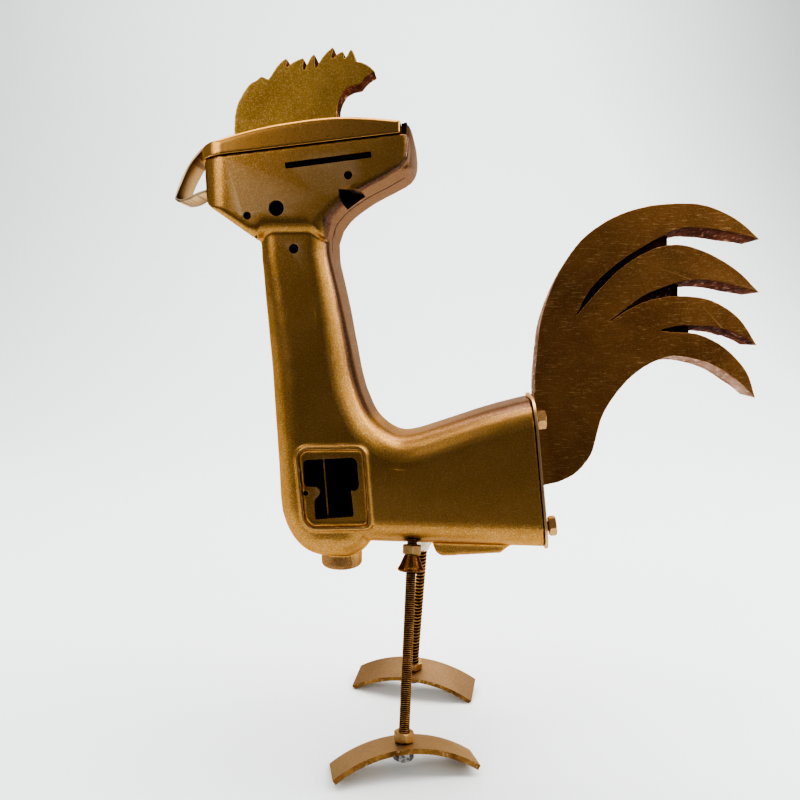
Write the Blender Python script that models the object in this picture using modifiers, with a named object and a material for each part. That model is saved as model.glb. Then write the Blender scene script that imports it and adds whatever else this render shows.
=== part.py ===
"""Rooster sculpture assembled from scrap metal and painted gold.

The column and arm casting of an old machine is the head, neck and body, with a lid for a
cap. A board on the cap is the comb, a folded strip is the beak, a sawn board is the tail,
and two threaded rods with arched plates are the legs and feet. The rooster faces -X.
Every size in this file is in millimetres until a mesh is made.
"""

import math

import bmesh
import bpy
from mathutils import Matrix, Vector

MM = 0.001
GAP = 0.3
CLEAR = 0.05

# Casting
FRONT = -26.5
BACK = 26.5
WALL = 4.5
NECK_ROUND = 10.0
BODY_ROUND = 15.5
HEEL_ROUND = 17.0
HEAD_FRONT = -29.8
HEAD_BACK = 24.0
HEAD_END_ROUND = 15.0
HEAD_FAR_ROUND = 6.0
SHOULDER_ROUND = 12.0
HEAD_EDGE_ROUND = 3.0
HEAD_SLOPE_ROUND = 9.0
SEAM_LEFT = (-138.0, 327.7)
SEAM_SLOPE = 0.1036
BODY_BOTTOM = 118.2
COLUMN_BOTTOM = 108.6
CUT_X = 43.4
CUT_Z = 172.5
CUT_TILT = math.radians(6.6)

# Cap
CAP_WALL = 2.5
CAP_ROUND = 2.5
CAP_LEFT = -140.2
CAP_RIGHT = -31.5

# Comb and tail boards
COMB_NEAR = -7.0
COMB_THICK = 12.0
TAIL_THICK = 19.0
WEB_NEAR = 1.5
TAIL_LEAN = math.radians(8.5)
TAIL_PIVOT_Z = 180.0
TAIL_TIP_X = 164.3

# Beak strip
BEAK_NEAR = -16.0
BEAK_WIDTH = 19.5
BEAK_THICK = 1.2

# End plate and its screws
PLATE_THICK = 1.5
PLATE_OVERHANG = 0.7
PLATE_MIDDLE_Z = 160.0
SCREWS = (("upper_tail_screw", -16.4, 189.6, 0.0, 5.0), ("lower_tail_screw", -7.0, 127.6, 2.2, 4.2))

# Legs and feet
ROD_RADIUS = 3.0
ROD_TOP_Z = 134.0
ROD_BELOW_APEX = 10.0
HEX_ACROSS_FLATS = 10.0
NUT_HEIGHT = 5.0
HOLE_RADIUS = 3.35
FOOT_SPREAD = 84.9
LEG_X = -25.8
LEG_SPLAY = 0.206
LEG_LEAN = {"left": 0.0204, "right": 0.067}
TOE_OUT = {"left": 0.256, "right": 0.144}
SIDE = {"left": -1, "right": 1}
FOOT_CHORD = 79.5
FOOT_RISE = 12.0
FOOT_WIDTH = 21.5
FOOT_THICK = 2.8
FOOT_FLAT = 0.5
FOOT_NUT_LOW = 0.6
LOWER_NUT_LOW = -8.9
TOP_NUT_LOW = 100.5
CONE_DROP = {"left": 9.4, "right": 11.6}


def clear_scene():
    for item in list(bpy.data.objects):
        bpy.data.objects.remove(item, do_unlink=True)


def new_collection(name):
    group = bpy.data.collections.new(name)
    bpy.context.scene.collection.children.link(group)
    return group


def paint(name, color, roughness, metallic):
    material = bpy.data.materials.new(name)
    material.use_nodes = True
    shader = material.node_tree.nodes["Principled BSDF"]
    shader.inputs["Base Color"].default_value = (*color, 1.0)
    shader.inputs["Roughness"].default_value = roughness
    shader.inputs["Metallic"].default_value = metallic
    return material


def add_part(name, mesh, material, matrix=None):
    """One visible piece in the sculpture's collection."""
    part = bpy.data.objects.new(name, mesh)
    PARTS.objects.link(part)
    part.parent = ORIGIN
    if matrix is not None:
        part.matrix_local = matrix
    mesh.materials.clear()
    mesh.materials.append(material)
    mesh.shade_smooth()
    mesh.set_sharp_from_angle(angle=math.radians(30))
    return part


def add_guide(name, mesh, matrix=None):
    """A shape that is only added to or cut from a piece."""
    guide = bpy.data.objects.new(name, mesh)
    CUTTERS.objects.link(guide)
    guide.parent = ORIGIN
    guide.hide_render = True
    guide.display_type = "WIRE"
    if matrix is not None:
        guide.matrix_local = matrix
    return guide


def combine(part, guide, operation):
    modifier = part.modifiers.new(guide.name, "BOOLEAN")
    modifier.operation = operation
    modifier.solver = "EXACT"
    modifier.object = guide


def bevel(part, width, segments, angle=None):
    """Round the edges by weight, or by the angle between their faces."""
    modifier = part.modifiers.new("edges", "BEVEL")
    modifier.width = width * MM
    modifier.segments = segments
    modifier.use_clamp_overlap = False
    if angle is None:
        modifier.limit_method = "WEIGHT"
    else:
        modifier.limit_method = "ANGLE"
        modifier.angle_limit = math.radians(angle)


def smooth(points, steps=3):
    """Catmull-Rom curve through the points of an open line."""
    ends = [points[0]] + list(points) + [points[-1]]
    line = []
    for a, b, c, d in zip(ends, ends[1:], ends[2:], ends[3:]):
        for step in range(steps):
            t = step / steps
            line.append(tuple(
                0.5 * (2 * q + (r - p) * t + (2 * p - 5 * q + 4 * r - s) * t ** 2
                       + (3 * q - p - 3 * r + s) * t ** 3)
                for p, q, r, s in zip(a, b, c, d)))
    line.append(tuple(points[-1]))
    return line


def fillet(points, radii, steps=4):
    """Closed outline with its corners rounded to the given radii."""
    outline = []
    count = len(points)
    for index, radius in enumerate(radii):
        corner = Vector(points[index])
        before = (Vector(points[index - 1]) - corner).normalized()
        after = (Vector(points[(index + 1) % count]) - corner).normalized()
        if radius == 0:
            outline.append(tuple(corner))
            continue
        half = before.angle(after) / 2
        start = corner + before * radius / math.tan(half)
        finish = corner + after * radius / math.tan(half)
        centre = corner + (before + after).normalized() * radius / math.sin(half)
        for step in range(steps + 1):
            arm = (start - centre).slerp(finish - centre, step / steps).normalized()
            outline.append(tuple(centre + arm * radius))
    return outline


def offset(points, distance, closed=False):
    """Line moved sideways, to its left for a positive distance."""
    moved = []
    last = len(points) - 1
    for index, point in enumerate(points):
        here = Vector(point)
        before = Vector(points[index - 1]) if index > 0 or closed else None
        after = Vector(points[(index + 1) % len(points)]) if index < last or closed else None
        arms = []
        if before is not None:
            arms.append((here - before).normalized())
        if after is not None:
            arms.append((after - here).normalized())
        along = sum(arms, Vector((0.0, 0.0))).normalized()
        stretch = max(along.dot(arms[0]), 0.5)
        moved.append(tuple(here + Vector((-along.y, along.x)) * distance / stretch))
    return moved


def slab(outline, near, far):
    """Mesh of a flat outline in the XZ plane with its thickness along Y."""
    curve = bpy.data.curves.new("outline", "CURVE")
    curve.dimensions = "2D"
    curve.fill_mode = "BOTH"
    curve.extrude = (far - near) / 2 * MM
    line = curve.splines.new("POLY")
    line.points.add(len(outline) - 1)
    for point, (x, z) in zip(line.points, outline):
        point.co = (x * MM, z * MM, 0.0, 1.0)
    line.use_cyclic_u = True
    guide = bpy.data.objects.new("outline", curve)
    bpy.context.scene.collection.objects.link(guide)
    guide.rotation_euler.x = math.radians(90)
    guide.location.y = (near + far) / 2 * MM
    bpy.context.view_layer.update()
    graph = bpy.context.evaluated_depsgraph_get()
    mesh = bpy.data.meshes.new_from_object(guide.evaluated_get(graph))
    mesh.transform(guide.matrix_world)
    bpy.data.objects.remove(guide, do_unlink=True)
    shape = bmesh.new()
    shape.from_mesh(mesh)
    bmesh.ops.remove_doubles(shape, verts=shape.verts, dist=0.002 * MM)
    flat = [face for face in shape.faces if abs(face.normal.y) > 0.9]
    inner = {edge for face in flat for edge in face.edges
             if all(abs(other.normal.y) > 0.9 for other in edge.link_faces)}
    bmesh.ops.dissolve_edges(shape, edges=list(inner), use_verts=False)
    bmesh.ops.recalc_face_normals(shape, faces=shape.faces)
    shape.to_mesh(mesh)
    shape.free()
    return mesh


def rounded_slab(outline, near, far, near_round, far_round=None, steps=5):
    """Slab whose near and far edges are rounded, by one radius for each point."""
    far_round = far_round or near_round
    area = sum(a[0] * b[1] - b[0] * a[1] for a, b in zip(outline, outline[1:] + outline[:1]))
    turn = 1 if area > 0 else -1
    corners = offset(outline, turn, closed=True)
    shape = bmesh.new()
    rings = []
    quarter = [math.radians(90) * step / steps for step in range(steps + 1)]
    levels = [(angle, near, 1, near_round) for angle in reversed(quarter)]
    levels += [(angle, far, -1, far_round) for angle in quarter]
    for angle, face, inward, radii in levels:
        ring = []
        for (x, z), (inner_x, inner_z), radius in zip(outline, corners, radii):
            inset = radius * (1 - math.cos(angle))
            y = face + inward * radius * (1 - math.sin(angle))
            place = (x + (inner_x - x) * inset, y, z + (inner_z - z) * inset)
            ring.append(shape.verts.new(Vector(place) * MM))
        rings.append(ring)
    count = len(outline)
    for ring, following in zip(rings, rings[1:]):
        for i in range(count):
            j = (i + 1) % count
            shape.faces.new((ring[i], ring[j], following[j], following[i]))
    shape.faces.new(rings[0])
    shape.faces.new(rings[-1])
    bmesh.ops.recalc_face_normals(shape, faces=shape.faces)
    mesh = bpy.data.meshes.new("rounded_slab")
    shape.to_mesh(mesh)
    shape.free()
    return mesh


def plan_prism(name, left, right, near, far, rounding):
    """Tall block with its two left corners rounded in plan, to keep what is inside it."""
    near -= CLEAR
    far += CLEAR
    corners = [(left, near), (left, far), (right, far), (right, near)]
    outline = fillet(corners, [rounding, rounding, 0, 0], 6)
    lay = Matrix.Translation(Vector((0, 0, 320.0)) * MM) @ Matrix.Rotation(math.radians(-90), 4, "X")
    return add_guide(name, slab(outline, -60.0, 60.0), lay)


def cylinder(radius, low, high, segments=24):
    """Closed cylinder about the Z axis between two heights."""
    shape = bmesh.new()
    bmesh.ops.create_cone(shape, cap_ends=True, segments=segments, radius1=radius * MM,
                          radius2=radius * MM, depth=(high - low) * MM)
    bmesh.ops.translate(shape, verts=shape.verts, vec=(0, 0, (low + high) / 2 * MM))
    mesh = bpy.data.meshes.new("cylinder")
    shape.to_mesh(mesh)
    shape.free()
    return mesh


def block(size):
    """Closed box about the origin."""
    shape = bmesh.new()
    bmesh.ops.create_cube(shape, size=1.0)
    bmesh.ops.scale(shape, verts=shape.verts, vec=Vector(size) * MM)
    mesh = bpy.data.meshes.new("block")
    shape.to_mesh(mesh)
    shape.free()
    return mesh


def turned(profile):
    """Mesh object with a closed profile, for a Screw modifier about its Z axis."""
    mesh = bpy.data.meshes.new("turned")
    points = [(radius * MM, 0.0, height * MM) for radius, height in profile]
    edges = [(index, (index + 1) % len(points)) for index in range(len(points))]
    mesh.from_pydata(points, edges, [])
    return mesh


def spin(part, steps=24):
    modifier = part.modifiers.new("turn", "SCREW")
    modifier.steps = steps
    modifier.render_steps = steps
    modifier.use_merge_vertices = True
    modifier.merge_threshold = 0.00001


def along_y(x, y, z):
    """Matrix that lays the Z axis along Y at a point."""
    return Matrix.Translation(Vector((x, y, z)) * MM) @ Matrix.Rotation(math.radians(90), 4, "X")


def seam_z(x):
    return SEAM_LEFT[1] + (x - SEAM_LEFT[0]) * SEAM_SLOPE


def cut_x(z):
    """X of the slanted cut at the rump end of the body."""
    return CUT_X - (z - CUT_Z) * math.tan(CUT_TILT)


def column_outline():
    """Neck and body seen from the side, from the neck's rear edge round to its front."""
    rear = [(-70.4, 284.0), (-69.5, 275.0), (-64.6, 255.0), (-59.8, 232.0), (-55.4, 211.0),
            (-51.6, 199.5), (-46.6, 189.6), (-39.5, 182.8), (-31.6, 179.4), (-23.5, 180.3),
            (-9.8, 184.8), (13.5, 193.0), (30.0, 198.0), (44.0, 201.6)]
    rump = [(76.0, 208.6), (76.0, BODY_BOTTOM)]
    centre_x = -63.0
    centre_z = COLUMN_BOTTOM + HEEL_ROUND
    level = math.asin((centre_z - BODY_BOTTOM) / HEEL_ROUND)
    heel = [(centre_x + HEEL_ROUND * math.cos(angle), centre_z - HEEL_ROUND * math.sin(angle))
            for angle in (level, math.radians(45), math.radians(67), math.radians(90))]
    breast = [(-74.0, COLUMN_BOTTOM), (-82.0, 110.6), (-88.2, 114.6),
              (-93.6, 121.2), (-97.4, 129.6), (-99.5, 139.5), (-101.0, 169.0), (-102.8, 198.0),
              (-104.4, 226.0), (-106.2, 254.0), (-108.0, 284.0)]
    top = [(-108.8, 300.0), (-70.8, 300.0)]
    return smooth(rear) + rump + heel + smooth(breast) + top


def column_rounding(z):
    """Radius of the neck's edges, which grows towards the body."""
    share = min(max((275.0 - z) / 60.0, 0.0), 1.0)
    return NECK_ROUND + (BODY_ROUND - NECK_ROUND) * share


def head_slope_round(z):
    """Radius of the head's lower rear edge, which grows towards the neck."""
    share = min(max((312.0 - z) / 26.0, 0.0), 1.0)
    return HEAD_EDGE_ROUND + (HEAD_SLOPE_ROUND - HEAD_EDGE_ROUND) * share


def head_block():
    """Head below the cap: its front stands proud of the neck, with a round shoulder."""
    points = [((-26.9, 334.0), 2.5), ((-27.6, 326.5), 2.5), ((-31.0, 321.6), 3.0)]
    curve = smooth([(-40.0, 316.4), (-51.0, 310.6), (-62.4, 302.4), (-68.2, 295.4)])
    points += [(point, head_slope_round(point[1])) for point in curve]
    points += [((-70.9, 285.6), HEAD_SLOPE_ROUND), ((-80.0, 285.6), SHOULDER_ROUND),
               ((-104.0, 285.6), SHOULDER_ROUND), ((-108.5, 285.6), 8.0), ((-113.0, 288.7), 5.5),
               ((-132.8, 302.5), 4.0), ((-135.4, 304.8), 3.0), ((-136.5, 308.6), 1.5),
               ((-139.3, 345.0), 1.5), ((-28.9, 345.0), 2.5)]
    outline = [point for point, radius in points]
    near_round = [radius for point, radius in points]
    far_round = [HEAD_FAR_ROUND if z > 286.0 and x < -34.0 else radius for (x, z), radius in points]
    far_round[-4:] = near_round[-4:]
    head = add_guide("head_block", rounded_slab(outline, HEAD_FRONT, HEAD_BACK, near_round,
                                                far_round))
    end = plan_prism("head_plan", -139.0, 0.0, HEAD_FRONT, HEAD_BACK, HEAD_END_ROUND)
    combine(head, end, "INTERSECT")
    size = (160.0, 80.0, 30.0)
    middle_x = -80.0
    above = Matrix.Translation(Vector((middle_x, 0, seam_z(middle_x) + size[2] / 2)) * MM)
    lid_plane = add_guide("head_top_cut", block(size),
                          above @ Matrix.Rotation(-math.atan(SEAM_SLOPE), 4, "Y"))
    combine(head, lid_plane, "DIFFERENCE")
    return head


def head_hollow():
    outline = [(-134.0, 350.0), (-131.6, 308.6), (-107.0, 291.4), (-75.0, 291.4),
               (-71.4, 299.6), (-65.0, 306.6), (-52.6, 315.4), (-35.4, 325.0), (-35.4, 350.0)]
    near = HEAD_FRONT + WALL
    far = HEAD_BACK - WALL
    hollow = add_guide("head_hollow", rounded_slab(outline, near, far, [3.0] * len(outline),
                                                   steps=2))
    combine(hollow, plan_prism("hollow_plan", -134.5, 0.0, near, far, HEAD_END_ROUND - WALL),
            "INTERSECT")
    return hollow


def end_wall():
    """Slanting end of the head, which stands up behind the cap's rear end."""
    side_view = [(-33.0, 322.0), (-29.2, 334.0), (-29.0, 346.3), (-27.6, 346.3), (-26.2, 343.0),
                 (-25.3, 337.0), (-25.2, 331.0), (-26.4, 326.0), (-29.5, 322.0)]
    plan = [(-34.0, -22.0), (-29.5, -22.5), (-28.0, -19.0), (-26.4, -8.0), (-25.5, 5.0),
            (-25.0, 20.6), (-34.0, 20.6)]
    wall = add_guide("end_wall", rounded_slab(side_view, -23.0, 20.0, [0.8] * len(side_view),
                                              steps=2))
    lay = Matrix.Translation(Vector((0, 0, 334.0)) * MM) @ Matrix.Rotation(math.radians(-90), 4, "X")
    combine(wall, add_guide("end_wall_plan", slab(plan, -20.0, 20.0), lay), "INTERSECT")
    return wall


def window_outline(inset):
    corners = [(-89.0, 174.2), (-48.6, 175.6), (-44.7, 128.4), (-84.4, 126.4)]
    middle = Vector((-67.0, 151.0))
    moved = []
    for x, z in corners:
        arm = Vector((x, z)) - middle
        moved.append(tuple(middle + Vector((arm.x * (1 - inset / 21.0), arm.y * (1 - inset / 24.0)))))
    return fillet(moved, [7.0 - inset, 6.0 - inset, 4.0, 9.0 - inset])


def window_opening():
    """Opening with a lug on its left and a small step on its right."""
    return [(-84.0, 164.8), (-82.3, 166.2), (-56.7, 168.2), (-54.0, 165.5), (-53.1, 153.8),
            (-55.1, 149.8), (-57.3, 149.8), (-55.9, 135.2), (-77.4, 132.8), (-77.9, 141.0),
            (-77.4, 144.2), (-75.0, 147.4), (-75.0, 149.8), (-76.6, 151.3), (-82.6, 151.5),
            (-83.8, 154.6)]


def make_casting(gold):
    """Head, neck and body: one hollow casting, open under the cap and at its cut end."""
    outline = column_outline()
    radii = [column_rounding(z) for x, z in outline]
    casting = add_part("machine_casting", rounded_slab(outline, FRONT, BACK, radii), gold)
    combine(casting, head_block(), "UNION")
    combine(casting, end_wall(), "UNION")

    boss = add_guide("bottom_boss", cylinder(12.0, 98.9, 122.0, 32),
                     Matrix.Translation(Vector((-66.6, 0.0, 0.0)) * MM))
    bevel(boss, 2.5, 2, angle=50)
    combine(casting, boss, "UNION")

    pad_outline = [(-12.4, 122.0), (-12.0, 116.6), (-10.2, 112.8), (-7.0, 111.0), (25.8, 114.0),
                   (31.6, 119.0), (31.6, 122.0)]
    pad_mesh = rounded_slab(pad_outline, -16.0, 16.0, [1.5] * len(pad_outline), steps=2)
    combine(casting, add_guide("bottom_pad", pad_mesh), "UNION")

    rim_outline = window_outline(0.0)
    rim_mesh = rounded_slab(rim_outline, FRONT - 1.4, FRONT + 2.0, [0.9] * len(rim_outline),
                            steps=2)
    combine(casting, add_guide("window_rim", rim_mesh), "UNION")
    recess = add_guide("window_recess", slab(window_outline(2.6), FRONT - 3.0, FRONT + 0.8))
    combine(casting, recess, "DIFFERENCE")

    inner = offset(outline, -WALL, closed=True)
    inner_radii = [radius - WALL for radius in radii]
    hollow = rounded_slab(inner, FRONT + WALL, BACK - WALL, inner_radii, steps=3)
    combine(casting, add_guide("column_hollow", hollow), "DIFFERENCE")
    combine(casting, head_hollow(), "DIFFERENCE")

    cut_outline = [(cut_x(60.0), 60.0), (cut_x(260.0), 260.0), (120.0, 260.0), (120.0, 60.0)]
    combine(casting, add_guide("rump_cut", slab(cut_outline, -60.0, 60.0)), "DIFFERENCE")
    combine(casting, add_guide("window_hole", slab(window_opening(), -40.0, FRONT + WALL + 1.0)),
            "DIFFERENCE")
    notch = [(-62.7, 311.2), (-51.1, 312.1), (-51.1, 305.5), (-54.8, 300.0), (-60.0, 300.0),
             (-62.7, 305.5)]
    combine(casting, add_guide("corner_notch", slab(notch, -40.0, HEAD_FRONT + WALL + 1.0)),
            "DIFFERENCE")

    slot_centre = Vector((-69.0, HEAD_FRONT, 325.8)) * MM
    slot = add_guide("lever_slot", block((45.4, 12.0, 3.0)),
                     Matrix.Translation(slot_centre) @ Matrix.Rotation(-math.radians(6.6), 4, "Y"))
    combine(casting, slot, "DIFFERENCE")
    bores = (("cheek_hole", -96.6, 301.5, 4.0), ("small_cheek_hole", -112.3, 297.7, 2.0),
             ("eye_hole", -58.4, 318.1, 2.1), ("neck_hole", -88.2, 280.8, 2.5))
    for name, x, z, radius in bores:
        bore = add_guide(name, cylinder(radius, -9.0, 9.0, 20), along_y(x, FRONT, z))
        combine(casting, bore, "DIFFERENCE")
    for side in SIDE:
        bore = add_guide(side + "_leg_hole", cylinder(HOLE_RADIUS, 95.0, 125.0, 20),
                         leg_matrix(side))
        combine(casting, bore, "DIFFERENCE")
    return casting


def cap_top():
    """Top edge of the cap, from its left end to its right end."""
    return [(-137.6, 334.6), (-131.0, 336.4), (-115.8, 340.6), (-99.8, 344.0), (-83.8, 346.3),
            (-73.0, 347.4), (-62.8, 347.9), (-47.1, 347.3), (CAP_RIGHT, 345.7)]


def make_cap(gold):
    low_left = (CAP_LEFT, seam_z(CAP_LEFT) + GAP)
    low_right = (CAP_RIGHT, seam_z(CAP_RIGHT) + GAP)
    outline = [low_right, low_left, (-140.6, 331.6)] + cap_top()
    radii = [0.6, 0.6, 1.0] + [CAP_ROUND] * (len(cap_top()) - 1) + [1.0]
    mesh = rounded_slab(outline, HEAD_FRONT - 0.4, HEAD_BACK + 0.4, radii, steps=3)
    cap = add_part("head_cap", mesh, gold)
    combine(cap, plan_prism("cap_plan", CAP_LEFT, 0.0, HEAD_FRONT - 0.4, HEAD_BACK + 0.4,
                            HEAD_END_ROUND), "INTERSECT")
    near = HEAD_FRONT + CAP_WALL
    far = HEAD_BACK - CAP_WALL
    inner = [(CAP_RIGHT - CAP_WALL, 300.0), (CAP_LEFT, 300.0), (CAP_LEFT, 332.0)]
    inner += [(x, z - CAP_WALL) for x, z in cap_top()[1:-1]]
    inner.append((CAP_RIGHT - CAP_WALL, cap_top()[-1][1] - CAP_WALL))
    hollow = add_guide("cap_hollow", slab(inner, near, far))
    combine(hollow, plan_prism("cap_hollow_plan", CAP_LEFT + CAP_WALL, 0.0, near, far,
                               HEAD_END_ROUND - CAP_WALL), "INTERSECT")
    combine(cap, hollow, "DIFFERENCE")
    return cap


def make_comb(gold):
    """Board with rounded lobes cut by narrow notches, and a swept tip behind."""
    lobes = [[(-125.6, 349.0), (-125.2, 355.0), (-123.6, 361.3), (-120.7, 366.6),
              (-116.7, 371.8), (-112.7, 374.0), (-109.9, 375.9), (-106.2, 374.2)],
             [(-106.2, 374.2), (-103.6, 377.6), (-100.8, 381.5), (-98.0, 384.1), (-95.6, 384.6),
              (-97.0, 377.2)],
             [(-97.0, 377.2), (-95.3, 380.9), (-92.5, 382.9), (-88.6, 384.6), (-86.4, 384.6),
              (-87.0, 377.6)],
             [(-87.0, 377.6), (-84.7, 381.4), (-82.2, 385.7), (-80.2, 386.4), (-80.3, 378.0)],
             [(-80.3, 378.0), (-77.5, 383.2), (-74.7, 386.8), (-72.0, 389.3), (-69.9, 390.1),
              (-71.4, 383.6)],
             [(-71.4, 383.6), (-68.1, 386.6), (-64.6, 388.0), (-64.3, 383.4)],
             [(-64.3, 383.4), (-62.6, 385.7), (-60.6, 388.9), (-59.0, 387.4), (-57.7, 382.9)],
             [(-57.7, 382.9), (-54.4, 382.2), (-50.4, 380.2), (-47.3, 377.3)],
             [(-47.3, 377.3), (-50.4, 375.6), (-53.3, 373.3), (-55.5, 370.7), (-59.9, 369.7),
              (-63.7, 367.7), (-66.0, 364.6), (-67.6, 360.4), (-68.2, 355.1)]]
    outline = []
    for lobe in lobes:
        outline += smooth(lobe, 2)[:-1]
    outline.append(lobes[-1][-1])
    seat = [(x, z + GAP) for x, z in cap_top()]
    outline.append((-68.4, height_on(seat, -68.4)))
    outline += [point for point in seat[::-1] if -125.0 < point[0] < -69.0]
    outline.append((-125.8, height_on(seat, -125.8)))
    comb = add_part("comb", slab(outline, COMB_NEAR, COMB_NEAR + COMB_THICK), gold)
    return comb


def height_on(line, x):
    """Height of a line of points at X."""
    for (xa, za), (xb, zb) in zip(line, line[1:]):
        if xa <= x <= xb:
            return za + (zb - za) * (x - xa) / (xb - xa)
    return line[-1][1]


def make_beak(gold):
    """Flat strip folded to a point, its upper end on the cap and its lower end at the head."""
    upper = smooth([(-127.0, 339.0), (-132.0, 338.1), (-136.6, 337.4), (-141.5, 334.6),
                    (-147.0, 328.6), (-152.4, 319.6), (-155.6, 311.8), (-156.2, 308.9)])
    lower = smooth([(-155.0, 308.0), (-149.6, 309.0), (-144.6, 311.4), (-138.0, 313.6)], 2)
    line = upper + lower
    half = BEAK_THICK / 2
    outline = offset(line, half) + offset(line, -half)[::-1]
    beak = add_part("beak_strip", slab(outline, BEAK_NEAR, BEAK_NEAR + BEAK_WIDTH), gold)
    return beak


def tail_outline():
    """Edge of the tail, from its root up and over the four feathers and back."""
    root_top = 203.0
    root_low = 151.0
    first = smooth([(43.2, root_top), (43.0, 211.0), (43.7, 222.4), (46.3, 244.9),
                    (54.0, 267.0), (64.3, 284.4), (74.8, 294.9), (88.4, 303.0), (104.4, 308.0),
                    (121.8, 309.5), (135.0, 308.4), (147.0, 303.6), (156.4, 297.2),
                    (TAIL_TIP_X, 289.1)])
    under_first = smooth([(TAIL_TIP_X, 289.1), (154.1, 291.9), (143.4, 294.1), (132.7, 295.4),
                          (121.9, 295.1), (111.1, 290.2), (100.2, 283.8), (89.4, 276.4),
                          (78.5, 266.8), (72.0, 258.6), (65.9, 246.5)], 2)
    second = smooth([(65.9, 246.5), (78.6, 261.6), (89.4, 272.6), (100.3, 280.3),
                     (111.1, 285.1), (121.9, 286.2), (132.7, 283.4), (143.4, 278.2),
                     (154.6, 270.2), (164.2, 259.6)], 2)
    under_second = smooth([(164.2, 259.6), (154.3, 262.4), (143.4, 265.3), (132.7, 266.4),
                           (122.0, 265.2), (111.2, 261.4), (100.4, 256.0), (84.6, 243.4)], 2)
    third = smooth([(84.6, 243.4), (95.0, 250.4), (105.8, 255.2), (116.6, 257.3),
                    (127.4, 257.3), (138.1, 255.4), (148.2, 250.0), (156.0, 242.4),
                    (162.8, 230.5)], 2)
    under_third = smooth([(162.8, 230.5), (154.1, 236.0), (143.4, 239.8), (132.8, 240.8),
                          (122.1, 240.9), (111.3, 238.3)], 2)
    fourth = smooth([(111.3, 238.3), (118.5, 237.6), (126.5, 237.2), (134.0, 235.6),
                     (143.5, 230.8), (152.0, 223.4), (158.6, 214.0), (162.0, 201.7)], 2)
    root = smooth([(162.0, 201.7), (154.1, 209.6), (143.5, 217.4), (132.8, 221.8),
                   (121.0, 224.0), (113.6, 222.9), (104.0, 218.4), (94.6, 210.9),
                   (86.0, 200.2), (80.1, 189.3), (76.7, 176.4), (74.1, 168.2), (66.6, 158.6),
                   (57.0, 153.2)], 2)
    outline = []
    for run in (first, under_first, second, under_second, third, under_third, fourth):
        outline += run[:-1]
    outline += root
    lift = PLATE_THICK + 3 * GAP
    outline.append((cut_x(root_low) + lift, root_low))
    outline.append((cut_x(root_top) + lift, root_top - 0.2))
    return outline


def slit_webs():
    """Ends of the slits between the feathers, which are cut only part of the way through."""
    return [[(64.9, 245.6), (71.4, 259.6), (78.0, 267.8), (89.0, 277.5), (99.8, 284.9),
             (111.1, 291.2), (118.0, 294.0), (118.0, 285.0), (111.4, 284.1), (100.8, 279.4),
             (90.0, 271.7), (79.2, 260.7)],
            [(83.4, 243.0), (100.2, 257.0), (111.0, 262.4), (124.0, 266.4), (124.0, 256.3),
             (116.6, 256.3), (106.0, 254.2), (95.4, 249.4)],
            [(109.8, 238.4), (122.1, 241.9), (130.0, 241.9), (130.0, 235.4), (118.5, 236.6)]]


def make_tail(bronze):
    """Sawn board with four swept feathers, leaning back."""
    flat = [(x, z - TAIL_PIVOT_Z) for x, z in tail_outline()]
    lean = (Matrix.Translation(Vector((0, 0, TAIL_PIVOT_Z)) * MM)
            @ Matrix.Rotation(-TAIL_LEAN, 4, "X"))
    tail = add_part("tail_board", slab(flat, -TAIL_THICK / 2, TAIL_THICK / 2), bronze, lean)
    for number, web in enumerate(slit_webs(), 1):
        outline = [(x, z - TAIL_PIVOT_Z) for x, z in web]
        guide = add_guide("slit_web_" + str(number), slab(outline, WEB_NEAR, TAIL_THICK / 2 - 0.5),
                          lean)
        combine(tail, guide, "UNION")
    return tail


def plate_matrix(z):
    """Frame on the rump cut: its Z runs up the cut and its Y points out of the body."""
    out = Matrix.Rotation(-math.radians(90), 4, "Z")
    tilt = Matrix.Rotation(-CUT_TILT, 4, "Y")
    return Matrix.Translation(Vector((cut_x(z), 0, z)) * MM) @ tilt @ out


def make_end_plate(gold):
    """Thin plate over the cut end of the body."""
    upright = math.cos(CUT_TILT)
    low = (BODY_BOTTOM - PLATE_MIDDLE_Z) / upright - 1.2
    high = (201.4 - PLATE_MIDDLE_Z) / upright + PLATE_OVERHANG
    left = -BACK - PLATE_OVERHANG
    right = -FRONT + PLATE_OVERHANG
    outline = fillet([(left, high), (right, high), (right, low), (left, low)],
                     [BODY_ROUND] * 4, 6)
    mesh = slab(outline, GAP, GAP + PLATE_THICK)
    plate = add_part("end_plate", mesh, gold, plate_matrix(PLATE_MIDDLE_Z))
    for name, y, z, _, _ in SCREWS:
        bore = add_guide(name + "_bore", cylinder(HOLE_RADIUS, -6.0, 6.0, 20), screw_matrix(y, z))
        combine(plate, bore, "DIFFERENCE")
    return plate


def screw_matrix(y, z):
    """Frame of a screw in the end plate: its Z points out of the body."""
    turn = Matrix.Rotation(math.radians(90) - CUT_TILT, 4, "Y")
    return Matrix.Translation(Vector((cut_x(z), y, z)) * MM) @ turn


def hex_corner():
    """Corner radius of a nut or screw head."""
    return HEX_ACROSS_FLATS / 2 / math.cos(math.radians(30))


def make_screw(name, y, z, head_gap, head_height, steel):
    """Hexagon screw whose shank passes through the end plate."""
    head_low = GAP + PLATE_THICK + GAP + head_gap
    screw = add_part(name, cylinder(ROD_RADIUS, -6.0, head_low + 1.0, 20), steel,
                     screw_matrix(y, z))
    head = add_guide(name + "_head", cylinder(hex_corner(), head_low, head_low + head_height, 6),
                     screw_matrix(y, z))
    combine(screw, head, "UNION")
    return screw


def leg_direction(side):
    lean = LEG_LEAN[side]
    return Vector((math.sin(lean), -SIDE[side] * math.sin(LEG_SPLAY),
                   math.cos(LEG_SPLAY))).normalized()


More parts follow.
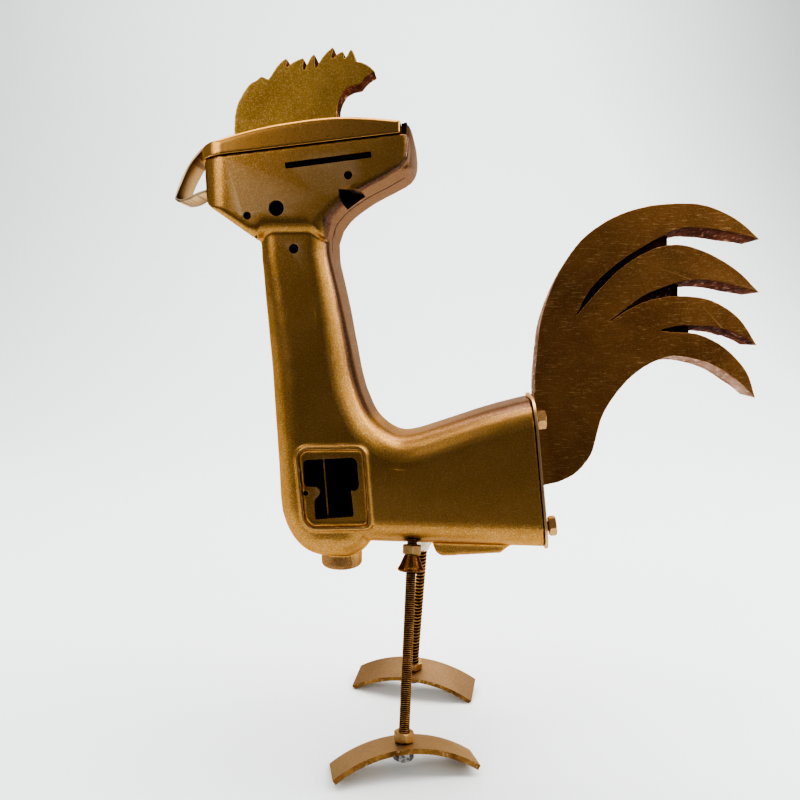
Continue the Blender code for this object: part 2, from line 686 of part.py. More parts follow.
def foot_axes(side):
    """Level direction along the foot, direction across it, and its own upright."""
    toe = TOE_OUT[side]
    along = Vector((math.cos(toe), -SIDE[side] * math.sin(toe), 0.0))
    leg = leg_direction(side)
    upright = (leg - along * leg.dot(along)).normalized()
    return along, upright.cross(along), upright


def foot_outline():
    radius = (FOOT_CHORD ** 2 / 4 + FOOT_RISE ** 2) / (2 * FOOT_RISE)
    half = math.asin(FOOT_CHORD / 2 / radius)
    steps = 16
    angles = [-half + 2 * half * step / steps for step in range(steps + 1)]
    top = [(radius * math.sin(a), radius * math.cos(a) - radius) for a in angles]
    inner = radius - FOOT_THICK
    under = [(inner * math.sin(a), inner * math.cos(a) - radius) for a in reversed(angles)]
    return top + under


def foot_apex(side):
    """Top of the arch, at the height that leaves a small worn flat at each end."""
    along, across, upright = foot_axes(side)
    reach = min(along.z * x + upright.z * z + across.z * y
                for x, z in foot_outline() for y in (-FOOT_WIDTH / 2, FOOT_WIDTH / 2))
    return Vector((LEG_X, SIDE[side] * FOOT_SPREAD / 2, -reach - FOOT_FLAT))


def frame_at(origin, x_axis, y_axis, z_axis):
    turn = Matrix((x_axis, y_axis, z_axis)).transposed().to_4x4()
    return Matrix.Translation(origin * MM) @ turn


def leg_matrix(side):
    """Frame of a leg: Z up along the rod from the top of the foot's arch."""
    up = leg_direction(side)
    forward = (Vector((1, 0, 0)) - up * up.x).normalized()
    return frame_at(foot_apex(side), forward, up.cross(forward), up)


def make_leg(side, gold, steel):
    """Threaded rod with its foot, the nuts that hold it and the cone under the body."""
    matrix = leg_matrix(side)
    apex = foot_apex(side)
    up = leg_direction(side)
    rod_high = (ROD_TOP_Z - apex.z) / up.z
    add_part(side + "_leg_rod", cylinder(ROD_RADIUS, -ROD_BELOW_APEX, rod_high, 20), gold, matrix)

    along, across, upright = foot_axes(side)
    foot_mesh = slab(foot_outline(), -FOOT_WIDTH / 2, FOOT_WIDTH / 2)
    foot = add_part(side + "_foot", foot_mesh, gold, frame_at(apex, along, across, upright))
    combine(foot, add_guide(side + "_foot_bore", cylinder(HOLE_RADIUS, -8.0, 8.0, 20), matrix),
            "DIFFERENCE")
    floor = add_guide(side + "_floor", block((400.0, 400.0, 20.0)),
                      Matrix.Translation(Vector((0, 0, -10.0)) * MM))
    combine(foot, floor, "DIFFERENCE")

    nuts = ((side + "_foot_nut", FOOT_NUT_LOW, gold),
            (side + "_lower_foot_nut", LOWER_NUT_LOW, steel),
            (side + "_upper_leg_nut", TOP_NUT_LOW, gold))
    for name, low, material in nuts:
        nut = add_part(name, cylinder(hex_corner(), low, low + NUT_HEIGHT, 6), material, matrix)
        bore = add_guide(name + "_bore", cylinder(HOLE_RADIUS, low - 2, low + NUT_HEIGHT + 2, 20),
                         matrix)
        combine(nut, bore, "DIFFERENCE")

    if side == "left":
        profile = [(3.9, 9.0), (6.9, 2.2), (7.4, 1.8), (7.4, 0.4), (6.6, 0.0), (HOLE_RADIUS, 0.0),
                   (HOLE_RADIUS, 9.0)]
    else:
        profile = [(7.0, 11.2), (7.2, 10.2), (4.0, 1.0), (3.7, 0.0), (HOLE_RADIUS, 0.0),
                   (HOLE_RADIUS, 11.2)]
    cone_low = TOP_NUT_LOW - CONE_DROP[side]
    seat = matrix @ Matrix.Translation(Vector((0, 0, cone_low)) * MM)
    cone = add_part(side + "_leg_cone", turned(profile), gold, seat)
    spin(cone)


def settle():
    """Put the origin at the middle of the footprint's box, on the floor."""
    bpy.context.view_layer.update()
    graph = bpy.context.evaluated_depsgraph_get()
    low = Vector((math.inf,) * 3)
    high = Vector((-math.inf,) * 3)
    for part in ORIGIN.children:
        if part.hide_render:
            continue
        shape = part.evaluated_get(graph)
        for vertex in shape.data.vertices:
            place = shape.matrix_world @ vertex.co
            low = Vector(map(min, low, place))
            high = Vector(map(max, high, place))
    ORIGIN.location = (-(low.x + high.x) / 2, -(low.y + high.y) / 2, -low.z)
    bpy.context.view_layer.update()


clear_scene()
PARTS = new_collection("scrap_rooster_sculpture")
CUTTERS = new_collection("cutters")
ORIGIN = bpy.data.objects.new("sculpture_origin", None)
PARTS.objects.link(ORIGIN)


def build():
    gold = paint("gold_paint", (0.43, 0.26, 0.09), 0.42, 0.85)
    smooth_gold = paint("smooth_gold_paint", (0.50, 0.31, 0.12), 0.36, 0.85)
    bronze = paint("dark_bronze_paint", (0.22, 0.12, 0.05), 0.5, 0.7)
    steel = paint("bare_steel", (0.62, 0.62, 0.62), 0.35, 1.0)
    make_casting(gold)
    make_cap(smooth_gold)
    make_comb(gold)
    make_beak(smooth_gold)
    make_tail(bronze)
    make_end_plate(gold)
    for name, y, z, head_gap, head_height in SCREWS:
        make_screw(name, y, z, head_gap, head_height, gold)
    for side in SIDE:
        make_leg(side, gold, steel)
    settle()


build()
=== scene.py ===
"""Looks of the gold-painted scrap metal rooster: surfaces, studio and camera.

Shapes are made in millimetres, in a frame whose X is 0 at the camera and whose Y is 0 midway
between the feet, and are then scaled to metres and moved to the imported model's frame.
"""

from math import asin, atan, cos, pi, radians, sin, tan

import bmesh
import bpy
import numpy as np
from mathutils import Matrix, Vector, noise
from mathutils.bvhtree import BVHTree


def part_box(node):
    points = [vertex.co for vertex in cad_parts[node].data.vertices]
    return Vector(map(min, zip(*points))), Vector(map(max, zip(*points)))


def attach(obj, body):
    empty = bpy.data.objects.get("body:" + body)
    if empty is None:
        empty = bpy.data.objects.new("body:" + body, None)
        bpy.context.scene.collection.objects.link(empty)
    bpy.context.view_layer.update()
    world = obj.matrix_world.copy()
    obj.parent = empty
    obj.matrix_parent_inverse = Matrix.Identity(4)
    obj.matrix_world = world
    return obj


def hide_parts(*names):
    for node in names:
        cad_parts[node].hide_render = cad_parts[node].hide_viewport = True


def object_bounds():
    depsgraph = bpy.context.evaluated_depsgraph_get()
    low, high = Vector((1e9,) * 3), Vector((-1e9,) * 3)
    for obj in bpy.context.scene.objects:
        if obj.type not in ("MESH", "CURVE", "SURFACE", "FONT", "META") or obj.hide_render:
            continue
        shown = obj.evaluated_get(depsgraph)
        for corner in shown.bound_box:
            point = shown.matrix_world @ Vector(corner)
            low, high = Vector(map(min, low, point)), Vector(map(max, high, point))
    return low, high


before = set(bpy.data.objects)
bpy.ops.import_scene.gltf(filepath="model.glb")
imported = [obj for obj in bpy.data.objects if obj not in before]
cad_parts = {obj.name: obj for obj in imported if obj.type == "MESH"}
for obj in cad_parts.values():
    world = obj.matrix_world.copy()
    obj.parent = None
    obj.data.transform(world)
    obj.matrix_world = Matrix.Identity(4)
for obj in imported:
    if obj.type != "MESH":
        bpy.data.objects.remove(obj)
cad_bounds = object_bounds()

MM = 0.001

# Casting
FRONT = -26.5
BACK = 26.5
WALL = 4.5
NECK_ROUND = 10.0
BODY_ROUND = 15.5
HEEL_ROUND = 17.0
HEAD_FRONT = -29.8
HEAD_BACK = 24.0
HEAD_LEFT = -139.0
HEAD_END_ROUND = 15.0
HEAD_FAR_ROUND = 6.0
SHOULDER_ROUND = 12.0
HEAD_EDGE_ROUND = 3.0
HEAD_SLOPE_ROUND = 9.0
SEAM_LEFT = (-138.0, 327.7)
SEAM_SLOPE = 0.1036
BODY_BOTTOM = 118.2
COLUMN_BOTTOM = 108.6
BURIED_Z = 122.0
BOSS_X = -66.6
BOSS_RADIUS = 12.0
BOSS_BOTTOM = 98.9
CUT_X = 43.4
CUT_Z = 172.5
CUT_TILT = radians(6.6)
COLLAR_DEPTH = 15.0
COLLAR_WALL = 1.6
RECESS = 1.3

# Cap, comb, tail and beak
GAP = 0.3
CAP_WALL = 2.5
CAP_ROUND = 2.5
CAP_LEFT = -140.2
CAP_RIGHT = -31.5
COMB_NEAR = -7.0
COMB_THICK = 12.0
TAIL_THICK = 19.0
WEB_NEAR = 1.5
TAIL_LEAN = radians(8.5)
TAIL_PIVOT_Z = 180.0
TAIL_TIP_X = 164.3
TAIL_ROOT_TOP = 203.0
TAIL_ROOT_LOW = 151.0
TIP_REACH = 16.0
TIP_TRIM = 3.2
TIP_UNWORN = 6.0
SAW_STEP = 0.9
MARK_WIDTH = 1.3
MARK_LENGTH = 7.0
CHIP_SIZE = 3.1
CHIP_DEPTH = 2.2
BEAK_NEAR = -16.0
BEAK_WIDTH = 19.5
BEAK_THICK = 1.2

# End plate and its screws
PLATE_THICK = 1.5
PLATE_OVERHANG = 0.7
PLATE_MIDDLE_Z = 160.0
PLATE_TOP_Z = 201.4
PLATE_BELOW_BODY = 1.2
# Each screw has its name, its place across, its height, the gap under its head and the head's height
SCREWS = (("upper_tail_screw", -16.4, 189.6, 0.0, 5.0), ("lower_tail_screw", -7.0, 127.6, 2.2, 4.2))

# Legs and feet
ROD_RADIUS = 3.0
THREAD_PITCH = {"left": 1.0, "right": 2.4}
THREAD_DEPTH = 0.55
ROD_TOP_Z = 134.0
ROD_BELOW_APEX = 10.0
THREAD_RUNOUT = 0.8
HEX_ACROSS_FLATS = 10.0
HEX_CHAMFER = radians(35)
NUT_HEIGHT = 5.0
HOLE_RADIUS = 3.35
FOOT_SPREAD = 84.9
LEG_X = -25.8
LEG_SPLAY = 0.206
LEG_LEAN = {"left": 0.0204, "right": 0.067}
TOE_OUT = {"left": 0.256, "right": 0.144}
SIDE = {"left": -1, "right": 1}
FOOT_CHORD = 79.5
FOOT_RISE = 12.0
FOOT_WIDTH = 21.5
FOOT_THICK = 2.8
FOOT_FLAT = 0.5
FOOT_NUT_LOW = 0.6
LOWER_NUT_LOW = -8.9
TOP_NUT_LOW = 100.5
CONE_DROP = {"left": 9.4, "right": 11.6}

# Camera, in the same frame as the shapes
FRAME_PIXELS = 800.0
FOCAL_PIXELS = 713.6
SENSOR_WIDTH = 36.0
CAMERA_PLACE = (0.0, -407.7, 241.1)
CAMERA_YAW = 0.0801
CAMERA_PITCH = 0.1055
CAMERA_ROLL = 0.008

SHIFT = Vector((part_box("tail_board")[1][0] - TAIL_TIP_X * MM,
                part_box("machine_casting")[0][1] - HEAD_FRONT * MM, 0.0))
TO_FRAME = Matrix.Translation(SHIFT) @ Matrix.Scale(MM, 4)


# Outlines

def smooth(points, steps=8):
    """Catmull-Rom curve through the points of an open line."""
    ends = [points[0]] + list(points) + [points[-1]]
    line = []
    for a, b, c, d in zip(ends, ends[1:], ends[2:], ends[3:]):
        for step in range(steps):
            t = step / steps
            line.append(tuple(
                0.5 * (2 * q + (r - p) * t + (2 * p - 5 * q + 4 * r - s) * t ** 2
                       + (3 * q - p - 3 * r + s) * t ** 3)
                for p, q, r, s in zip(a, b, c, d)))
    line.append(tuple(points[-1]))
    return line


def fillet(points, radii, steps=10):
    """Closed outline with its corners rounded to the given radii."""
    outline = []
    count = len(points)
    for index, radius in enumerate(radii):
        corner = Vector(points[index])
        before = (Vector(points[index - 1]) - corner).normalized()
        after = (Vector(points[(index + 1) % count]) - corner).normalized()
        if radius == 0:
            outline.append(tuple(corner))
            continue
        half = before.angle(after) / 2
        start = corner + before * radius / tan(half)
        end = corner + after * radius / tan(half)
        centre = corner + (before + after).normalized() * radius / sin(half)
        for step in range(steps + 1):
            arm = (start - centre).slerp(end - centre, step / steps).normalized()
            outline.append(tuple(centre + arm * radius))
    return outline


def offset(points, distance, closed=False):
    """Line moved sideways, to its left for a positive distance."""
    moved = []
    last = len(points) - 1
    for index, point in enumerate(points):
        here = Vector(point)
        arms = []
        if index > 0 or closed:
            arms.append((here - Vector(points[index - 1])).normalized())
        if index < last or closed:
            arms.append((Vector(points[(index + 1) % len(points)]) - here).normalized())
        along = sum(arms, Vector((0.0, 0.0))).normalized()
        stretch = max(along.dot(arms[0]), 0.5)
        moved.append(tuple(here + Vector((-along.y, along.x)) * distance / stretch))
    return moved


def share(value, start, end):
    """How far a value has come from a start to an end, from 0 to 1."""
    return min(max((value - start) / (end - start), 0.0), 1.0)


def inward(outline, distance=1.0):
    """Closed outline moved towards its inside."""
    area = sum(a[0] * b[1] - b[0] * a[1] for a, b in zip(outline, outline[1:] + outline[:1]))
    return offset(outline, distance if area > 0 else -distance, closed=True)


# Mesh tools

def new_piece(name, data):
    piece = bpy.data.objects.new(name, data)
    bpy.context.scene.collection.objects.link(piece)
    return piece


def mesh_from(shape, matrix=None):
    if matrix is not None:
        shape.transform(matrix)
    mesh = bpy.data.meshes.new("shape")
    bmesh.ops.recalc_face_normals(shape, faces=shape.faces)
    shape.to_mesh(mesh)
    shape.free()
    return mesh


def take_mesh(piece):
    """Mesh of a working piece, which is no longer needed itself."""
    mesh = piece.data
    bpy.data.objects.remove(piece)
    return mesh


def ring_mesh(rings, matrix=None, loop=False):
    """Walls between rings of points, which either form a loop or are closed by end faces."""
    shape = bmesh.new()
    rows = [[shape.verts.new(point) for point in ring] for ring in rings]
    if loop:
        rows.append(rows[0])
    count = len(rows[0])
    for row, following in zip(rows, rows[1:]):
        for i in range(count):
            j = (i + 1) % count
            shape.faces.new((row[i], row[j], following[j], following[i]))
    if not loop:
        shape.faces.new(rows[0])
        shape.faces.new(rows[-1])
    return mesh_from(shape, matrix)


def settle(piece):
    """Replace a piece's mesh by what its modifiers make of it."""
    bpy.context.view_layer.update()
    graph = bpy.context.evaluated_depsgraph_get()
    mesh = bpy.data.meshes.new_from_object(piece.evaluated_get(graph))
    piece.modifiers.clear()
    old = piece.data
    piece.data = mesh
    bpy.data.meshes.remove(old)


def combine(mesh, operation, tools):
    """Mesh with closed meshes added or cut, one after the other."""
    piece = new_piece("work", mesh)
    helpers = [new_piece("tool", tool) for tool in tools]
    for helper in helpers:
        modifier = piece.modifiers.new("combine", "BOOLEAN")
        modifier.operation = operation
        modifier.solver = "MANIFOLD"
        modifier.object = helper
    settle(piece)
    for helper in helpers:
        bpy.data.meshes.remove(take_mesh(helper))
    return take_mesh(piece)


def add(mesh, *tools):
    return combine(mesh, "UNION", tools)


def cut(mesh, *tools):
    return combine(mesh, "DIFFERENCE", tools)


def keep(mesh, *tools):
    return combine(mesh, "INTERSECT", tools)


def soften(piece, voxel, passes, triangles):
    """Even mesh with its edges and creases rounded, as paint and casting leave them."""
    remesh = piece.modifiers.new("remesh", "REMESH")
    remesh.mode = "VOXEL"
    remesh.voxel_size = voxel
    relax = piece.modifiers.new("relax", "SMOOTH")
    relax.factor = 0.5
    relax.iterations = passes
    settle(piece)
    total = 2 * len(piece.data.polygons)
    if total > triangles:
        fewer = piece.modifiers.new("fewer", "DECIMATE")
        fewer.ratio = triangles / total
        settle(piece)
    piece.data.shade_smooth()


def shade(piece, angle):
    """Smooth shading that keeps edges sharper than an angle."""
    piece.data.shade_smooth()
    piece.data.set_sharp_from_angle(angle=radians(angle))


def round_edges(piece, width, segments):
    edges = piece.modifiers.new("edges", "BEVEL")
    edges.width = width
    edges.segments = segments
    edges.limit_method = "ANGLE"
    edges.angle_limit = radians(40)
    settle(piece)
    shade(piece, 50)


def slab(outline, near, far, matrix=None):
    """Flat outline in the XZ plane with its thickness along Y."""
    return ring_mesh([[(x, y, z) for x, z in outline] for y in (near, far)], matrix)


def rounded_slab(outline, near, far, near_round, far_round=None, steps=10):
    """Slab whose near and far edges are rounded, by one radius for all points or for each."""
    near_round = np.broadcast_to(near_round, len(outline))
    far_round = near_round if far_round is None else far_round
    corners = inward(outline)
    rings = []
    quarter = [radians(90) * step / steps for step in range(steps + 1)]
    levels = [(angle, near, 1, near_round) for angle in reversed(quarter)]
    levels += [(angle, far, -1, far_round) for angle in quarter]
    for angle, face, sign, radii in levels:
        ring = []
        for (x, z), (inner_x, inner_z), radius in zip(outline, corners, radii):
            inset = radius * (1 - cos(angle))
            y = face + sign * radius * (1 - sin(angle))
            ring.append((x + (inner_x - x) * inset, y, z + (inner_z - z) * inset))
        rings.append(ring)
    return ring_mesh(rings)


def cylinder(radius, low, high, segments=48, matrix=None):
    shape = bmesh.new()
    bmesh.ops.create_cone(shape, cap_ends=True, segments=segments, radius1=radius,
                          radius2=radius, depth=high - low)
    bmesh.ops.translate(shape, verts=shape.verts, vec=(0, 0, (low + high) / 2))
    return mesh_from(shape, matrix)


def block(size, matrix):
    shape = bmesh.new()
    bmesh.ops.create_cube(shape, size=1.0)
    bmesh.ops.scale(shape, verts=shape.verts, vec=size)
    return mesh_from(shape, matrix)


def turns(segments):
    """Cosine and sine of even steps once round."""
    angles = [2 * pi * step / segments for step in range(segments)]
    return [(cos(angle), sin(angle)) for angle in angles]


def turned(profile, segments=64, matrix=None):
    """Closed profile of radius and height turned about Z."""
    columns = [[(radius * c, radius * s, height) for radius, height in profile]
               for c, s in turns(segments)]
    return ring_mesh(columns, matrix, loop=True)


def tube_along(points, radius, segments=10):
    """Closed round bar through points in space."""
    rings = []
    for index, point in enumerate(points):
        here = Vector(point)
        before = Vector(points[max(index - 1, 0)])
        after = Vector(points[min(index + 1, len(points) - 1)])
        along = (after - before).normalized()
        side = along.cross(Vector((0, 1, 0))).normalized()
        up = side.cross(along)
        rings.append([here + (side * c + up * s) * radius for c, s in turns(segments)])
    return ring_mesh(rings)


def placed(place, angle, axis):
    return Matrix.Translation(place) @ Matrix.Rotation(angle, 4, axis)


def along_y(*place):
    return placed(place, radians(90), "X")


def read_vectors(items, name):
    values = np.empty(3 * len(items))
    items.foreach_get(name, values)
    return values.reshape(-1, 3)


def write_places(mesh, places):
    mesh.vertices.foreach_set("co", places.ravel())
    mesh.update()


def roughen(piece, height, size, seed=0.0):
    """Low uneven swells over a surface, in millimetres."""
    mesh = piece.data
    places = read_vectors(mesh.vertices, "co")
    normals = read_vectors(mesh.vertex_normals, "vector")
    drift = np.array((seed, seed * 1.7, seed * 0.6))
    lift = np.array([noise.noise(place) for place in places / size + drift])
    places += normals * height * lift[:, None]
    write_places(mesh, places)


# Casting

def seam_z(x):
    return SEAM_LEFT[1] + (x - SEAM_LEFT[0]) * SEAM_SLOPE


def cut_x(z):
    return CUT_X - (z - CUT_Z) * tan(CUT_TILT)


def column_outline():
    """Neck and body seen from the side."""
    rear = [(-70.4, 284.0), (-69.5, 275.0), (-64.6, 255.0), (-59.8, 232.0), (-55.4, 211.0),
            (-51.6, 199.5), (-46.6, 189.6), (-39.5, 182.8), (-31.6, 179.4), (-23.5, 180.3),
            (-9.8, 184.8), (13.5, 193.0), (30.0, 198.0), (44.0, 201.6)]
    rump = [(76.0, 208.6), (76.0, BODY_BOTTOM)]
    centre_x = -63.0
    centre_z = COLUMN_BOTTOM + HEEL_ROUND
    level = asin((centre_z - BODY_BOTTOM) / HEEL_ROUND)
    heel = [(centre_x + HEEL_ROUND * cos(angle), centre_z - HEEL_ROUND * sin(angle))
            for angle in np.linspace(level, radians(90), 9)]
    breast = [(-74.0, COLUMN_BOTTOM), (-82.0, 110.6), (-88.2, 114.6), (-93.6, 121.2),
              (-97.4, 129.6), (-99.5, 139.5), (-101.0, 169.0), (-102.8, 198.0),
              (-104.4, 226.0), (-106.2, 254.0), (-108.0, 284.0)]
    top = [(-108.8, 300.0), (-70.8, 300.0)]
    return smooth(rear) + rump + heel + smooth(breast) + top


def column_rounding(z):
    return NECK_ROUND + (BODY_ROUND - NECK_ROUND) * share(z, 275.0, 215.0)


def head_rear_line():
    return smooth([(-40.0, 316.4), (-51.0, 310.6), (-62.4, 302.4), (-68.2, 295.4)])


def plan_prism(left, right, near, far, rounding):
    """Tall block with its two left corners rounded in plan."""
    corners = [(left, near - 0.05), (left, far + 0.05), (right, far + 0.05), (right, near - 0.05)]
    lay = placed((0, 0, 320.0), radians(-90), "X")
    return slab(fillet(corners, [rounding, rounding, 0, 0], 14), -60.0, 60.0, lay)


def above_seam():
    """Everything above the line where the cap sits."""
    middle_x = -80.0
    height = 30.0
    place = (middle_x, 0, seam_z(middle_x) + height / 2)
    return block((160.0, 80.0, height), placed(place, -atan(SEAM_SLOPE), "Y"))


def head_slope_round(z):
    """Radius of the head's lower rear edge, which grows towards the neck."""
    return HEAD_EDGE_ROUND + (HEAD_SLOPE_ROUND - HEAD_EDGE_ROUND) * share(z, 312.0, 286.0)


def head_mesh():
    points = [((-26.9, 334.0), 2.5), ((-27.6, 326.5), 2.5), ((-31.0, 321.6), 3.0)]
    points += [(point, head_slope_round(point[1])) for point in head_rear_line()]
    points += [((-70.9, 285.6), HEAD_SLOPE_ROUND), ((-80.0, 285.6), SHOULDER_ROUND),
               ((-104.0, 285.6), SHOULDER_ROUND), ((-108.5, 285.6), 8.0), ((-113.0, 288.7), 5.5),
               ((-132.8, 302.5), 4.0), ((-135.4, 304.8), 3.0), ((-136.5, 308.6), 1.5),
               ((-139.3, 345.0), 1.5), ((-28.9, 345.0), 2.5)]
    outline = [point for point, _ in points]
    near_round = [radius for _, radius in points]
    far_round = [HEAD_FAR_ROUND if z > 286.0 and x < -34.0 else radius for (x, z), radius in points]
    far_round[-4:] = near_round[-4:]
    head = keep(rounded_slab(outline, HEAD_FRONT, HEAD_BACK, near_round, far_round),
                plan_prism(HEAD_LEFT, 0.0, HEAD_FRONT, HEAD_BACK, HEAD_END_ROUND))
    return cut(head, above_seam())


def head_hollow_mesh():
    outline = [(-134.0, 350.0), (-131.6, 308.6), (-107.0, 291.4), (-75.0, 291.4),
               (-71.4, 299.6), (-65.0, 306.6), (-52.6, 315.4), (-35.4, 325.0), (-35.4, 350.0)]
    near = HEAD_FRONT + WALL
    far = HEAD_BACK - WALL
    return keep(rounded_slab(outline, near, far, 3.0, steps=3),
                plan_prism(HEAD_LEFT + WALL, 0.0, near, far, HEAD_END_ROUND - WALL))


def end_wall_mesh():
    """Slanting end of the head, which stands up behind the cap's rear end."""
    side_view = smooth([(-29.2, 334.0), (-29.0, 345.4)], 2)
    side_view += smooth([(-28.6, 346.3), (-27.6, 346.1), (-26.2, 343.0), (-25.3, 337.0),
                         (-25.1, 331.0), (-26.4, 326.0), (-29.5, 322.0)], 4)
    side_view.append((-33.0, 322.0))
    plan = smooth([(-29.5, -22.5), (-28.0, -19.0), (-26.4, -8.0), (-25.5, 5.0), (-25.0, 20.6)], 4)
    plan += [(-34.0, 20.6), (-34.0, -22.0)]
    return keep(rounded_slab(side_view, -23.0, 20.0, 0.6, steps=3),
                slab(plan, -20.0, 20.0, placed((0, 0, 334.0), radians(-90), "X")))


def window_outline(inset):
    corners = [(-89.0, 174.2), (-48.6, 175.6), (-44.7, 128.4), (-84.4, 126.4)]
    middle = Vector((-67.0, 151.0))
    moved = []
    for x, z in corners:
        arm = Vector((x, z)) - middle
        moved.append(tuple(middle + Vector((arm.x * (1 - inset / 21.0), arm.y * (1 - inset / 24.0)))))
    return fillet(moved, [7.0 - inset, 6.0 - inset, 4.0 - inset * 0.6, 9.0 - inset])


def window_opening():
    """Opening with a lug on its left and a small step on its right."""
    left = smooth([(-84.0, 164.4), (-83.9, 158.0), (-83.6, 153.2)], 3)
    left += smooth([(-82.6, 151.6), (-79.4, 151.3), (-76.6, 151.3)], 3)
    left += smooth([(-75.0, 149.8), (-74.8, 148.0), (-75.8, 145.8), (-77.4, 144.2),
                    (-77.9, 141.0), (-77.4, 133.6)], 4)
    bottom = [(-76.6, 132.9), (-56.9, 135.1)]
    right = smooth([(-56.0, 135.9), (-56.9, 144.7), (-57.5, 149.0)], 2)
    step = smooth([(-57.4, 149.8), (-55.2, 149.8), (-53.4, 151.4), (-53.2, 154.4),
                   (-53.9, 161.8), (-54.1, 165.0), (-55.2, 167.2), (-57.0, 168.1)], 3)
    top = [(-81.8, 166.3), (-83.4, 165.6)]
    return left + bottom + right + step + top


def collar_mesh():
    """Inner flange round the window's opening."""
    opening = window_opening()
    return cut(slab(inward(opening, -COLLAR_WALL), FRONT + 1.6, FRONT + COLLAR_DEPTH),
               slab(opening, FRONT - 5.0, FRONT + COLLAR_DEPTH + 5.0))


def slope_groove():
    """Groove along the underside of the head, down into the neck."""
    line = [(-30.2, 320.9)] + offset(head_rear_line(), 0.9)[1:-1]
    line += smooth([(-69.0, 291.0), (-69.9, 285.0), (-69.6, 279.0)], 4)
    count = len(line) - 1
    depth = [(x, -4.0 - 6.0 * index / count, z) for index, (x, z) in enumerate(line)]
    return tube_along(depth, 1.6)


def window_rib():
    """Thin upright rib behind the window."""
    return slab([(-74.3, 170.0), (-73.2, 170.0), (-70.2, 130.0), (-71.1, 130.0)], -21.0, -12.0)


def casting_mesh():
    """Head, neck and body as one hollow casting, and its outer skin."""
    outline = column_outline()
    radii = [column_rounding(z) for _, z in outline]
    boss = new_piece("boss", cylinder(BOSS_RADIUS, BOSS_BOTTOM, BURIED_Z, 64,
                                      Matrix.Translation((BOSS_X, 0, 0))))
    round_edges(boss, width=2.5, segments=4)
    pad_outline = [(-12.4, BURIED_Z), (-12.0, 116.6), (-10.2, 112.8), (-7.0, 111.0),
                   (25.8, 114.0), (31.6, 119.0), (31.6, BURIED_Z)]
    pad = rounded_slab(pad_outline, -16.0, 16.0, 1.5, steps=4)
    rim = rounded_slab(window_outline(0.0), FRONT - 1.6, FRONT + 2.0, 1.2, steps=4)
    casting = add(rounded_slab(outline, FRONT, BACK, radii), head_mesh(), end_wall_mesh(),
                  take_mesh(boss), pad, rim)
    casting = cut(casting, slab(window_outline(2.4), FRONT - 3.0, FRONT + RECESS))
    rib = window_rib()
    skin = BVHTree.FromPolygons(*faces_of(casting, rib))
    bpy.data.meshes.remove(rib)

    inner_radii = [radius - WALL for radius in radii]
    hollow = rounded_slab(inward(outline, WALL), FRONT + WALL, BACK - WALL, inner_radii, steps=4)
    cut_outline = [(cut_x(60.0), 60.0), (cut_x(260.0), 260.0), (120.0, 260.0), (120.0, 60.0)]
    casting = add(cut(casting, hollow, head_hollow_mesh()), collar_mesh())
    return cut(casting, slab(cut_outline, -60.0, 60.0)), skin


def cut_openings(mesh):
    """Window, slot, holes and chips, cut crisp into the softened casting."""
    ring = cylinder(2.5, -RECESS - 1.0, 0.3 - RECESS, 32, along_y(-82.7, FRONT, 147.6))
    gap_foot = slab([(-31.1, 336.0), (-31.1, 345.0), (-28.4, 345.6), (-28.4, 336.0)], -24.6, -16.0)
    notch = [(-63.4, 311.1), (-51.7, 311.2), (-51.7, 306.2), (-53.0, 304.4), (-56.2, 302.9),
             (-60.6, 302.4), (-63.4, 306.8)]
    slot = block((45.4, 12.0, 3.0), placed((-69.0, HEAD_FRONT, 325.8), radians(-6.6), "Y"))
    chin = block((6.0, 9.0, 1.3), placed((-111.0, -24.0, 287.0), radians(-8), "Y"))
    bores = [cylinder(radius, -9.0, 9.0, 40, along_y(x, FRONT, z))
             for x, z, radius in ((-96.6, 301.5, 4.0), (-112.3, 297.7, 2.0),
                                  (-58.4, 318.1, 2.1), (-88.2, 280.8, 2.5),
                                  (-82.7, 147.6, 1.3))]
    legs = [cylinder(HOLE_RADIUS, 95.0, 125.0, 40, leg_matrix(side)) for side in SIDE]
    return cut(add(mesh, ring, window_rib(), gap_foot), slab(notch, -40.0, -12.0), slot, chin,
               slab(window_opening(), -40.0, FRONT + WALL + 1.0), slope_groove(), *bores, *legs)


def faces_of(*meshes):
    vertices = []
    faces = []
    for mesh in meshes:
        start = len(vertices)
        vertices += [vertex.co.copy() for vertex in mesh.vertices]
        faces += [[start + index for index in face.vertices] for face in mesh.polygons]
    return vertices, faces


def keep_values(mesh, name, values):
    mesh.attributes.new(name, "FLOAT", "POINT").data.foreach_set("value", values)


def mark_skin(mesh, skin):
    """Keep each point's depth below the outer skin, and the share of rosy painted sheen there."""
    depths = []
    painted_sheens = []
    for vertex in mesh.vertices:
        place, normal, _, depth = skin.find_nearest(vertex.co)
        # Painted sheen: a rosy colour on faces turned right or up, for the pale light they catch at a
        # slant.
        rosy = max(share(normal.x, 0.66, 0.88), share(normal.z, 0.55, 0.85))
        # More painted sheen on the head's underside, where it slopes down into the neck.
        if place.x > -72.0:
            slope = share(max(normal.x, -normal.z), 0.25, 0.47)
            rosy = max(rosy, share(place.z, 280.0, 292.0) * slope)
        # Painted shade on the boss below the window: half the share of the darker rosy colour.
        boss = 0.5 if place.z < 107.0 else 0.0
        depths.append(depth)
        painted_sheens.append(max(rosy * share(place.z, 165.0, 195.0), boss))
    keep_values(mesh, "depth", depths)
    keep_values(mesh, "painted_sheen", painted_sheens)


def make_casting(gold):
    mesh, skin = casting_mesh()
    rough = new_piece("rough", mesh)
    soften(rough, voxel=0.75, passes=3, triangles=170000)
    roughen(rough, height=0.10, size=9.0, seed=3.0)
    casting = new_piece("painted_casting", cut_openings(take_mesh(rough)))
    mark_skin(casting.data, skin)
    shade(casting, 40)
    finish(casting, "machine_casting", "gold_paint", gold)


# Cap, comb, beak and tail

def cap_top():
    return [(-137.6, 334.6), (-131.0, 336.4), (-115.8, 340.6), (-99.8, 344.0), (-83.8, 346.3),
            (-73.0, 347.4), (-62.8, 347.9), (-47.1, 347.3), (CAP_RIGHT, 345.7)]


